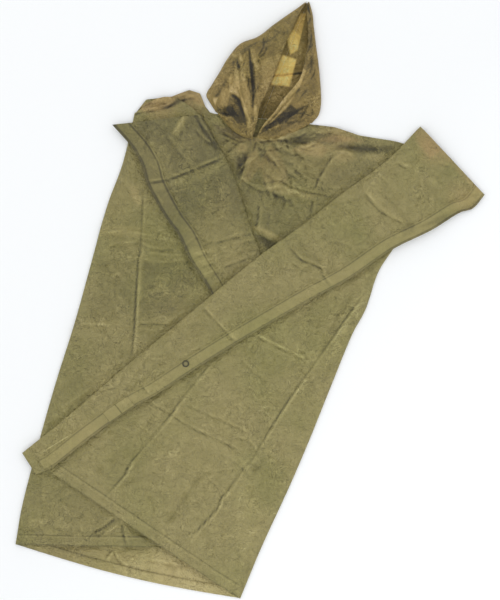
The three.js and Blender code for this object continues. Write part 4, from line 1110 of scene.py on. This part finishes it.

# How light each zone lies, partly the film's own colour and partly painted light and shade, and soft places
# that are lighter, darker or tanner: x, y, reach, tone, tan light. The tan is painted light: light that comes
# through the thin film, and highlights.
zoneTone = {"body": -0.12, "leftWing": 0.03, "leftStrip": -0.24, "rightWing": 0.17, "rightStrip": 0.14}
softPlaces = {
    "body": [(-0.14, 0.425, 0.075, 0.0, 0.55), (0.19, 0.352, 0.06, 0.1, 0.5), (0.16, 0.30, 0.10, 0.10, 0.1),
             (0.11, 0.33, 0.09, 0.05, 0.1), (0.0, 0.27, 0.08, -0.15, 0), (0.0, 0.345, 0.10, -0.12, 0.3),
             (0.05, -0.58, 0.30, 0.6, 0.15), (-0.20, -0.58, 0.30, 0.6, 0.15)],
    "leftWing": [(-0.19, 0.42, 0.06, 0.05, 0.75), (-0.3, 0.2, 0.12, 0.06, 0.1),
                 (-0.42, -0.5, 0.15, -0.04, 0), (-0.33, 0.0, 0.15, 0.03, 0)],
    "leftStrip": [(-0.06, 0.12, 0.12, 0.3, 0.05), (-0.02, 0.05, 0.08, 0.1, 0.05),
                  (-0.2, 0.36, 0.08, -0.05, 0)],
    "rightWing": [(0.2, -0.12, 0.08, -0.04, 0), (-0.1, -0.3, 0.15, 0.04, 0)],
    "rightStrip": [(0.4, 0.325, 0.06, 0.05, 0.7), (0.46, 0.22, 0.06, 0.05, 0.4),
                   (0.25, 0.17, 0.12, -0.02, 0), (-0.38, -0.3, 0.15, 0.06, 0.1)],
}
# Faces between folds: corners in millimetres, how far they catch the light (above 0) or lie in shade, as
# painted light and shade, and how much painted tan light they get
paneEdge = 0.010
zonePanes = {
    "body": [
        ([(-485, -515), (-200, -545), (130, -620), (170, -650), (-200, -620), (-490, -540)], 0.14, 0.1),
        ([(-244, 409), (-223, 422), (-193, 430), (-197, 419), (-220, 411)], 0.22, 0.8),
        ([(-193, 434), (-161, 447), (-133, 449), (-150, 434), (-180, 426)], 0.16, 0.7),
        ([(-214, 411), (-180, 417), (-141, 434), (-137, 428), (-175, 409)], -0.8, 0),
        ([(-137, 443), (-107, 437), (-94, 411), (-111, 419)], 0.3, 0.5),
        ([(-28, 317), (-19, 334), (-6, 330), (-6, 317)], 0.5, 0.3),
        ([(43, 330), (60, 317), (79, 278), (81, 248), (30, 250), (21, 289)], 0.16, 0.35),
        ([(90, 319), (118, 334), (146, 338), (169, 321), (154, 304), (118, 310)], 0.25, 0.45),
        ([(178, 300), (195, 317), (218, 315), (229, 300), (203, 293)], 0.2, 0.2),
        ([(79, 336), (107, 353), (171, 355), (203, 340), (171, 332), (128, 334), (103, 325)], -0.35, 0),
        ([(141, 340), (182, 351), (218, 347), (244, 338), (214, 338), (171, 338)], 0.15, 0.6),
        ([(180, 325), (203, 334), (310, 327), (295, 312), (235, 315)], -0.32, 0),
        ([(235, 304), (261, 312), (293, 308), (278, 295)], 0.25, 0.1),
        ([(28, 244), (60, 250), (98, 235), (141, 223), (133, 216), (90, 223), (43, 231)], 0.4, 0.2),
        ([(51, 238), (62, 235), (58, 210)], -0.45, 0),
        ([(4, 156), (26, 156), (73, 128), (64, 124), (21, 143)], 0.35, 0.2),
        ([(9, 137), (26, 137), (60, 118), (39, 107)], -0.35, 0),
        ([(-26, 304), (-6, 312), (-13, 282), (-26, 257)], -0.35, 0),
        ([(-4, 308), (13, 321), (26, 289), (0, 253), (-17, 253)], 0.18, 0.3),
        ([(-81, 377), (-21, 355), (26, 340), (-21, 338), (-64, 360)], -0.3, 0.2),
        ([(13, 340), (75, 360), (107, 370), (98, 355), (56, 336)], 0.25, 0.3),
        ([(-321, -539), (-278, -531), (-214, -531), (-235, -548), (-282, -569)], -0.15, 0),
        ([(-182, -561), (-118, -556), (-128, -574), (-171, -582)], -0.25, 0),
        ([(-169, 430), (-131, 447), (-103, 443), (-98, 419), (-124, 428)], 0.1, 0.5),
    ],
    "leftWing": [
        ([(-244, 409), (-223, 422), (-193, 430), (-197, 419), (-220, 411)], 0.22, 0.8),
        ([(-193, 434), (-161, 447), (-133, 449), (-150, 434), (-180, 426)], 0.16, 0.7),
        ([(-214, 411), (-180, 417), (-141, 434), (-137, 428), (-175, 409)], -0.8, 0),
        ([(-137, 443), (-107, 437), (-94, 411), (-111, 419)], 0.3, 0.5),
        ([(-240, 409), (-220, 426), (-169, 434), (-158, 424), (-193, 407), (-227, 402)], 0.12, 0.75),
        ([(-229, 419), (-210, 422), (-214, 413), (-227, 411)], -0.7, 0),
        ([(-255, 244), (-240, 240), (-231, 205), (-240, 201), (-255, 223)], 0.25, 0.2),
        ([(-315, 158), (-231, 154), (-233, 133), (-321, 137)], 0.2, 0.1),
        ([(-321, 81), (-248, 81), (-253, -43), (-347, -43)], -0.12, 0),
        ([(-227, 81), (-128, 81), (-107, 43), (-171, -39), (-235, -39)], -0.16, 0),
        ([(-475, -464), (-437, -467), (-432, -484), (-471, -486)], 0.22, 0),
        ([(-315, -488), (-276, -481), (-272, -516), (-308, -518)], 0.12, 0),
        ([(-338, -501), (-297, -469), (-282, -473), (-321, -509)], -0.18, 0),
    ],
    "rightWing": [
        ([(-13, -81), (4, -68), (124, -124), (107, -133)], 0.12, 0),
        ([(-214, -223), (-171, -248), (-30, -325), (-43, -347), (-193, -268)], 0.06, 0),
        ([(201, 0), (227, 26), (171, -96), (146, -133), (154, -96)], -0.1, 0),
        ([(193, -64), (218, -39), (188, -111), (161, -141)], 0.22, 0),
        ([(-214, -257), (-265, -308), (-312, -372), (-282, -364), (-227, -304)], -0.06, 0),
        ([(-107, -381), (-146, -428), (-184, -488), (-158, -475), (-116, -415)], -0.07, 0),
        ([(17, -325), (43, -321), (34, -360), (9, -372)], -0.1, 0),
        ([(-21, -364), (13, -398), (26, -471), (-13, -556), (-39, -492)], 0.1, 0),
    ],
    "leftStrip": [
        ([(-137, 402), (-128, 398), (-154, 351), (-167, 355)], 0.5, 0.1),
        ([(-128, 407), (-94, 400), (-51, 321), (-73, 317), (-103, 360)], -0.2, 0),
        ([(-214, 338), (-180, 330), (-158, 265), (-193, 261)], 0.12, 0),
        ([(-133, 103), (-77, 120), (-60, 68), (-98, 43)], 0.16, 0),
        ([(-214, 244), (-120, 265), (-51, 295), (-39, 282), (-116, 253), (-205, 231)], 0.14, 0),
    ],
    "rightStrip": [
        ([(351, 364), (372, 368), (407, 321), (385, 300), (355, 338)], 0, 0.5),
        ([(407, 317), (454, 282), (488, 265), (496, 223), (454, 261)], 0.05, 0.35),
        ([(77, 111), (107, 128), (154, 81), (150, 64), (116, 77)], -0.12, 0),
        ([(240, 231), (261, 244), (330, 167), (312, 163)], 0.14, 0),
        ([(321, 158), (351, 167), (351, 141), (325, 133)], -0.2, 0),
        ([(360, 154), (407, 180), (471, 205), (501, 220), (488, 201), (407, 163)], -0.25, 0),
        ([(-73, -47), (-51, -39), (-21, -73), (-39, -81)], 0.12, 0),
    ],
}


def dressed(block):
    zoneNames = list(zoneLines)
    x, y = block["mid"][..., 0], block["mid"][..., 1]
    tone = block["tone"].copy()
    tan = np.zeros(x.shape)
    # Each zone's painted light and shade, and its painted tan light
    for number, zone in enumerate(zoneNames):
        here = block["zone"] == number
        extra = np.full(x.shape, zoneTone[zone])
        tanLightHere = np.zeros(x.shape)
        for px, py, reach, lighter, tanLit in softPlaces[zone]:
            near = 1 - smooth(np.hypot(x - px, y - py) / reach)
            extra += lighter * near
            tanLightHere += tanLit * near
        if here.any():
            for corners, lighter, tanLit in zonePanes[zone]:
                pane = insideOf(corners, x, y, paneEdge)
                extra += lighter * pane
                tanLightHere += tanLit * pane
        tone += np.where(here, extra, 0)
        tan += np.where(here, tanLightHere, 0)
    block["tone"] = np.clip(tone, -1, 1)
    block["tan"] = np.clip(tan, 0, 1)
    return block


def sheetPiece(name, blocks, node, slotName, thickness, lengths):
    piece = shellMesh(name, dressed(joined(blocks)), thickness, lengths)
    piece.data.materials.append(materials[slotName])
    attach(piece, "root")
    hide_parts(node)
    return piece


hemRow = (cut["hemBand"] + 0.0003) / cloth["length"]
# Rows and columns of the sheets. At the hem, the rows are close enough for the weld lines.
mesh = {
    "quick": 0.45, "back": 315, "front": 290, "hidden": 90, "body": (26, 30, 165), "bodyEnds": (0.10, 0.52),
    "hoodRows": 130, "hoodUnder": 40, "hoodOver": 90,
    "hem": [0, 0.004, 0.010, 0.016, 0.019, 0.0215, 0.023, 0.0245, 0.027],
}
detail = 1


def shares(count):
    return np.linspace(0, 1, max(4, int(count * detail)))


def inner(count):
    return np.linspace(0, 1, max(4, int(count * detail)) + 2)[1:-1]


low, middle, high = mesh["body"]
lowEnd, middleEnd = mesh["bodyEnds"]
fineRows = np.unique(np.concatenate([mesh["hem"], np.linspace(0.03, 1, int(mesh["back"] * detail))]))
frontRows = np.unique(np.concatenate([[hemRow], np.linspace(hemRow + 0.006, 1, int(mesh["front"] * detail))]))
bodyRows = np.unique(np.concatenate([
    np.linspace(hemRow, lowEnd, int(low * detail) + 4), np.linspace(lowEnd, middleEnd, middle),
    np.linspace(middleEnd, 1, int(high * detail))]))

arcs = foldArcs("back", fineRows)
backLeft = sheetPiece("back_left", [
    leftStrip("back", fineRows, inner(6), False), arcs["leftTurn"],
    leftWing("back", fineRows, inner(112)[::-1], True), arcs["leftSide"]], "back", "coated_cloth",
    cloth["film"], fineRows)
backRight = sheetPiece("back_right", [
    arcs["rightSide"], rightWing("back", fineRows, inner(125), True), arcs["rightTurn"],
    rightStrip("back", fineRows, inner(6), False)], "back", "coated_cloth", cloth["film"], fineRows)
coarseRows = np.linspace(0, 1, mesh["hidden"])
backBody = sheetPiece("back_body", [body("back", coarseRows, np.linspace(0, 1, 60), False)], "back",
                      "coated_cloth", cloth["film"], coarseRows)
print("back panel ready")

arcs = foldArcs("front", frontRows)
frontLeft = sheetPiece("front_left", [
    leftStrip("front", frontRows, shares(48)[:-1], True), arcs["leftTurn"],
    leftWing("front", frontRows, inner(6)[::-1], False), arcs["leftSide"]], "front", "coated_cloth",
    cloth["film"], frontRows)
frontRight = sheetPiece("front_right", [
    arcs["rightSide"], rightWing("front", frontRows, inner(6), False), arcs["rightTurn"],
    rightStrip("front", frontRows, shares(66)[1:], True)], "front", "coated_cloth", cloth["film"], frontRows)
frontBody = sheetPiece("front_body", [body("front", bodyRows, shares(170), True)], "front", "coated_cloth",
                       cloth["film"], bodyRows)
hemRows = np.linspace(0, cut["hemBand"] / cloth["length"], 8)
arcs = foldArcs("front", hemRows)
backHem = sheetPiece("back_hem_band", [
    leftStrip("front", hemRows, shares(30)[:-1], False), arcs["leftTurn"],
    leftWing("front", hemRows, inner(20)[::-1], False), arcs["leftSide"],
    body("front", hemRows, inner(90), False), arcs["rightSide"],
    rightWing("front", hemRows, inner(20), False), arcs["rightTurn"],
    rightStrip("front", hemRows, shares(40)[1:], False)], "back_hem", "coated_cloth", cloth["film"], hemRows)
print("front panel and hem ready")

# Bands along the open edges: widths in metres, and their weld seams as shares of the width, with painted
# shade along the seams
band = {"left": 0.040, "right": 0.030, "columns": 25, "mostOfStrip": 0.8, "seams": (0.12, 0.88),
        "seamShade": 0.5, "seamWidth": 0.05}


def bandBlock(zone, lengths, width, count):
    fold = (foldAt("leftTurn", 1, lengths, "leftWing", "leftStrip") if zone == "leftStrip"
            else foldAt("rightTurn", -1, lengths, "rightWing", "rightStrip"))
    edge = at("leftEdge" if zone == "leftStrip" else "rightEdge", lengths)
    wide = np.linalg.norm(edge - fold["place"], axis=1)
    share = np.minimum(band["mostOfStrip"], width / wide)
    steps = np.linspace(0, 1, count)
    innerPlace = edge + (fold["place"] - edge) * share[:, None]
    first, second = (edge, innerPlace) if zone == "leftStrip" else (innerPlace, edge)
    x, y = between(first, second, steps)
    block = flatColumns(zone, 1, x, y, 1, True)
    block["mid"] = block["mid"] + up * cloth["pitch"]
    line = np.minimum(np.abs(steps - band["seams"][0]), np.abs(steps - band["seams"][1]))
    # Painted shade along the band's two weld seams
    block["tone"] = block["tone"] - band["seamShade"] * np.exp(-(line / band["seamWidth"]) ** 2)[None, :]
    return block


bandLeft = sheetPiece("band_left", [bandBlock("leftStrip", frontRows, band["left"], band["columns"])],
                      "side_band_left", "welded_band", cloth["film"], frontRows)
bandRight = sheetPiece("band_right", [bandBlock("rightStrip", frontRows, band["right"], band["columns"])],
                       "side_band_right", "welded_band", cloth["film"], frontRows)

# Two square tabs of doubled film side by side on the right band, and the press stud's cap
tab = {"length": 0.032, "gap": 0.0003, "seam": (-0.275, -0.235), "lift": 0.0009, "rows": 26, "columns": 33,
       "trim": 3, "tone": 0.02, "endShade": -0.55, "sideShade": -0.5}
stud = {"radius": 0.0075, "height": 0.0024, "dish": 0.0011, "rim": 0.0014, "bevel": 0.0003, "sides": 48,
        "eye": 0.0052, "eyeTone": 0.35, "ringShade": -0.75, "wall": 0.0004, "domeEdge": 0.0024, "dome": 0.6,
        "sink": 0.0003, "reach": 0.006}


def shareNear(name, place):
    line = lines[name]
    return line["share"][np.argmin(np.linalg.norm(line["curve"] - np.array(place), axis=1))]


edgeLength = np.linalg.norm(np.diff(lines["rightEdge"]["curve"], axis=0), axis=1).sum()
tabSeam = shareNear("rightEdge", tab["seam"])
for number, turn in ((1, -1), (2, 1)):
    ends = sorted(tabSeam + turn * far / edgeLength for far in (tab["gap"], tab["length"] + tab["gap"]))
    tabRows = np.linspace(ends[0], ends[1], tab["rows"])
    block = bandBlock("rightStrip", tabRows, band["right"], tab["columns"])
    block = {key: value[:, tab["trim"]:-tab["trim"]] for key, value in block.items()}
    block["mid"] = block["mid"] + up * tab["lift"]
    # Painted shade round the tab's edges, on its end rows and side columns
    rim = np.zeros(block["tone"].shape)
    rim[[0, -1]] = tab["endShade"]
    rim[:, [0, -1]] = tab["sideShade"]
    block["tone"] = tab["tone"] + rim
    sheetPiece("tab_" + str(number), [block], "snap_tab_" + str(number), "welded_band",
                                cloth["film"], tabRows)

capBox = np.array(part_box("snap_cap"))
capMiddle = (capBox[0] + capBox[1]) / 2
bandPoints = np.array([v.co for v in bandRight.data.vertices])
nearCap = np.linalg.norm(bandPoints[:, :2] - capMiddle[:2], axis=1) < stud["reach"]
capBottom = bandPoints[nearCap, 2].max() - stud["sink"]
bpy.ops.object.select_all(action="DESELECT")
bpy.ops.mesh.primitive_cylinder_add(vertices=stud["sides"], radius=stud["radius"], depth=stud["height"],
                                    location=(capMiddle[0], capMiddle[1], capBottom + stud["height"] / 2))
capPiece = bpy.context.object
capPiece.name = "stud_cap"
bpy.ops.object.transform_apply(location=True)
bpy.ops.object.mode_set(mode="EDIT")
bpy.ops.mesh.select_all(action="DESELECT")
bpy.ops.object.mode_set(mode="OBJECT")
for polygon in capPiece.data.polygons:
    polygon.select = polygon.normal.z > 0.9
bpy.ops.object.mode_set(mode="EDIT")
bpy.ops.mesh.select_mode(type="FACE")
bpy.ops.mesh.inset(thickness=stud["rim"])
bpy.ops.mesh.inset(thickness=stud["wall"], depth=-stud["dish"])
bpy.ops.mesh.inset(thickness=stud["domeEdge"], depth=stud["dish"] * stud["dome"])
bpy.ops.object.mode_set(mode="OBJECT")
bevel = capPiece.modifiers.new("rounded edges", "BEVEL")
bevel.width = stud["bevel"]
bevel.segments = 2
bpy.ops.object.modifier_apply(modifier=bevel.name)
bpy.ops.object.shade_smooth_by_angle(angle=math.radians(35))
capPiece.data.materials.append(materials["press_stud"])
# A ring of painted shade on the cap's rim and side round a middle that is painted lighter
capPlaces = np.array([v.co for v in capPiece.data.vertices])
fromMiddle = np.linalg.norm(capPlaces[:, :2] - capMiddle[:2], axis=1)
capShade = np.where(fromMiddle < stud["eye"], stud["eyeTone"], stud["ringShade"])
capPiece.data.attributes.new("tone", "FLOAT", "POINT").data.foreach_set("value", capShade)
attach(capPiece, "root")
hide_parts("snap_cap")
print("tabs and stud ready")

# The hem round the hood's face: where it runs along the rim, and how it looks, with painted shade along its
# edge away from the rim
casing = {"first": 1 / 17, "last": 15 / 17, "columns": 14, "mostOfHalf": 0.2, "tone": 0.06, "edgeShade": -0.35,
          "edgeColumns": 3, "lift": 0.0009}


def casingBlock(block, name):
    # The hem round the face runs along the rim on the outside, and is narrower where the half is narrow
    rows = len(block["mid"])
    first, last = int(rows * casing["first"]), int(rows * casing["last"])
    mid, face = block["mid"][first:last], block["face"][first:last]
    if name == "right":
        mid, face = mid[:, ::-1], face[:, ::-1]
    newMid, newFace = [], []
    for row, normals in zip(mid, face):
        reached = np.concatenate([[0], np.cumsum(np.linalg.norm(np.diff(row, axis=0), axis=1))])
        width = min(cut["casing"], reached[-1] * casing["mostOfHalf"])
        spots = np.linspace(0, width, casing["columns"])
        newMid.append(np.column_stack([np.interp(spots, reached, row[:, k]) for k in range(3)]))
        newFace.append(np.column_stack([np.interp(spots, reached, normals[:, k]) for k in range(3)]))
    mid, face = np.array(newMid), np.array(newFace)
    face /= np.linalg.norm(face, axis=-1, keepdims=True)
    tone = np.full(mid.shape[:2], casing["tone"])
    # Painted shade along the hem's edge away from the rim
    tone[:, -casing["edgeColumns"]:] += casing["edgeShade"]
    if name == "right":
        mid, face, tone = mid[:, ::-1], face[:, ::-1], tone[:, ::-1]
    return {"mid": mid + face * casing["lift"], "face": face, "tone": tone, "tan": np.zeros(tone.shape)}


def hoodPiece(name, block, node, thickness):
    piece = shellMesh(name, block, thickness)
    piece.data.materials.append(materials["hood_cloth"])
    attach(piece, "root")
    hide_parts(node)
    return piece


for name in ("left", "right"):
    underColumns, overColumns = int(mesh["hoodUnder"] * detail), int(mesh["hoodOver"] * detail)
    block = hoodBlock(name, int(mesh["hoodRows"] * detail), np.linspace(0, 0.98, underColumns),
                      np.linspace(0, 1, overColumns)[1:])
    hoodPiece("hood_" + name + "_half", block, "hood_" + name, cloth["hoodFilm"])
    hoodPiece("hood_" + name + "_hem", casingBlock(block, name),
                                            "hood_casing_" + name, cloth["film"])
print("hood ready")

# Floor, light and camera
stage = {"floorSize": 6, "floorDrop": 0.0006, "floorColour": "#fdfdfb", "floorRoughness": 0.9,
         "cameraHeight": 3.4, "frameHeight": 1.284, "sensor": 36, "sky": (0.95, 0.97, 1, 1),
         "skyStrength": 1.03}
bpy.ops.object.select_all(action="DESELECT")
bpy.ops.mesh.primitive_plane_add(size=stage["floorSize"], location=(0, 0, -stage["floorDrop"]))
floorPiece = bpy.context.object
floorPiece.name = "floor"
floorMaterial = bpy.data.materials.new("Matt paper backdrop")
floorMaterial.use_nodes = True
floorShader = floorMaterial.node_tree.nodes["Principled BSDF"]
floorShader.inputs["Base Color"].default_value = hexColour(stage["floorColour"])
floorShader.inputs["Roughness"].default_value = stage["floorRoughness"]
floorPiece.data.materials.append(floorMaterial)

lights = {
    "key": {"place": (-1.7, 1.9, 1.5), "size": 0.9, "power": 430, "colour": (1, 0.985, 0.96)},
    "fill": {"place": (1.8, -1.6, 2.4), "size": 2.4, "power": 80, "colour": (0.97, 0.985, 1)},
}
for name, lamp in lights.items():
    bpy.ops.object.light_add(type="AREA", location=lamp["place"])
    light = bpy.context.object
    light.name = name + "_light"
    light.data.size = lamp["size"]
    light.data.energy = lamp["power"]
    light.data.color = lamp["colour"]
    direction = -np.array(lamp["place"]) / np.linalg.norm(lamp["place"])
    yaw = math.atan2(direction[0], -direction[1])
    light.rotation_euler = (math.acos(-direction[2]), 0, yaw)
world = bpy.data.worlds.new("studio")
bpy.context.scene.world = world
world.use_nodes = True
sky = world.node_tree.nodes["Background"]
sky.inputs["Color"].default_value = stage["sky"]
sky.inputs["Strength"].default_value = stage["skyStrength"]

bpy.ops.object.camera_add(location=(0, 0, stage["cameraHeight"]), rotation=(0, 0, 0))
camera = bpy.context.object
camera.data.sensor_width = stage["sensor"]
camera.data.lens = stage["sensor"] * stage["cameraHeight"] / stage["frameHeight"]
bpy.context.scene.camera = camera
bpy.context.scene.view_settings.view_transform = "Standard"
print("stage ready")
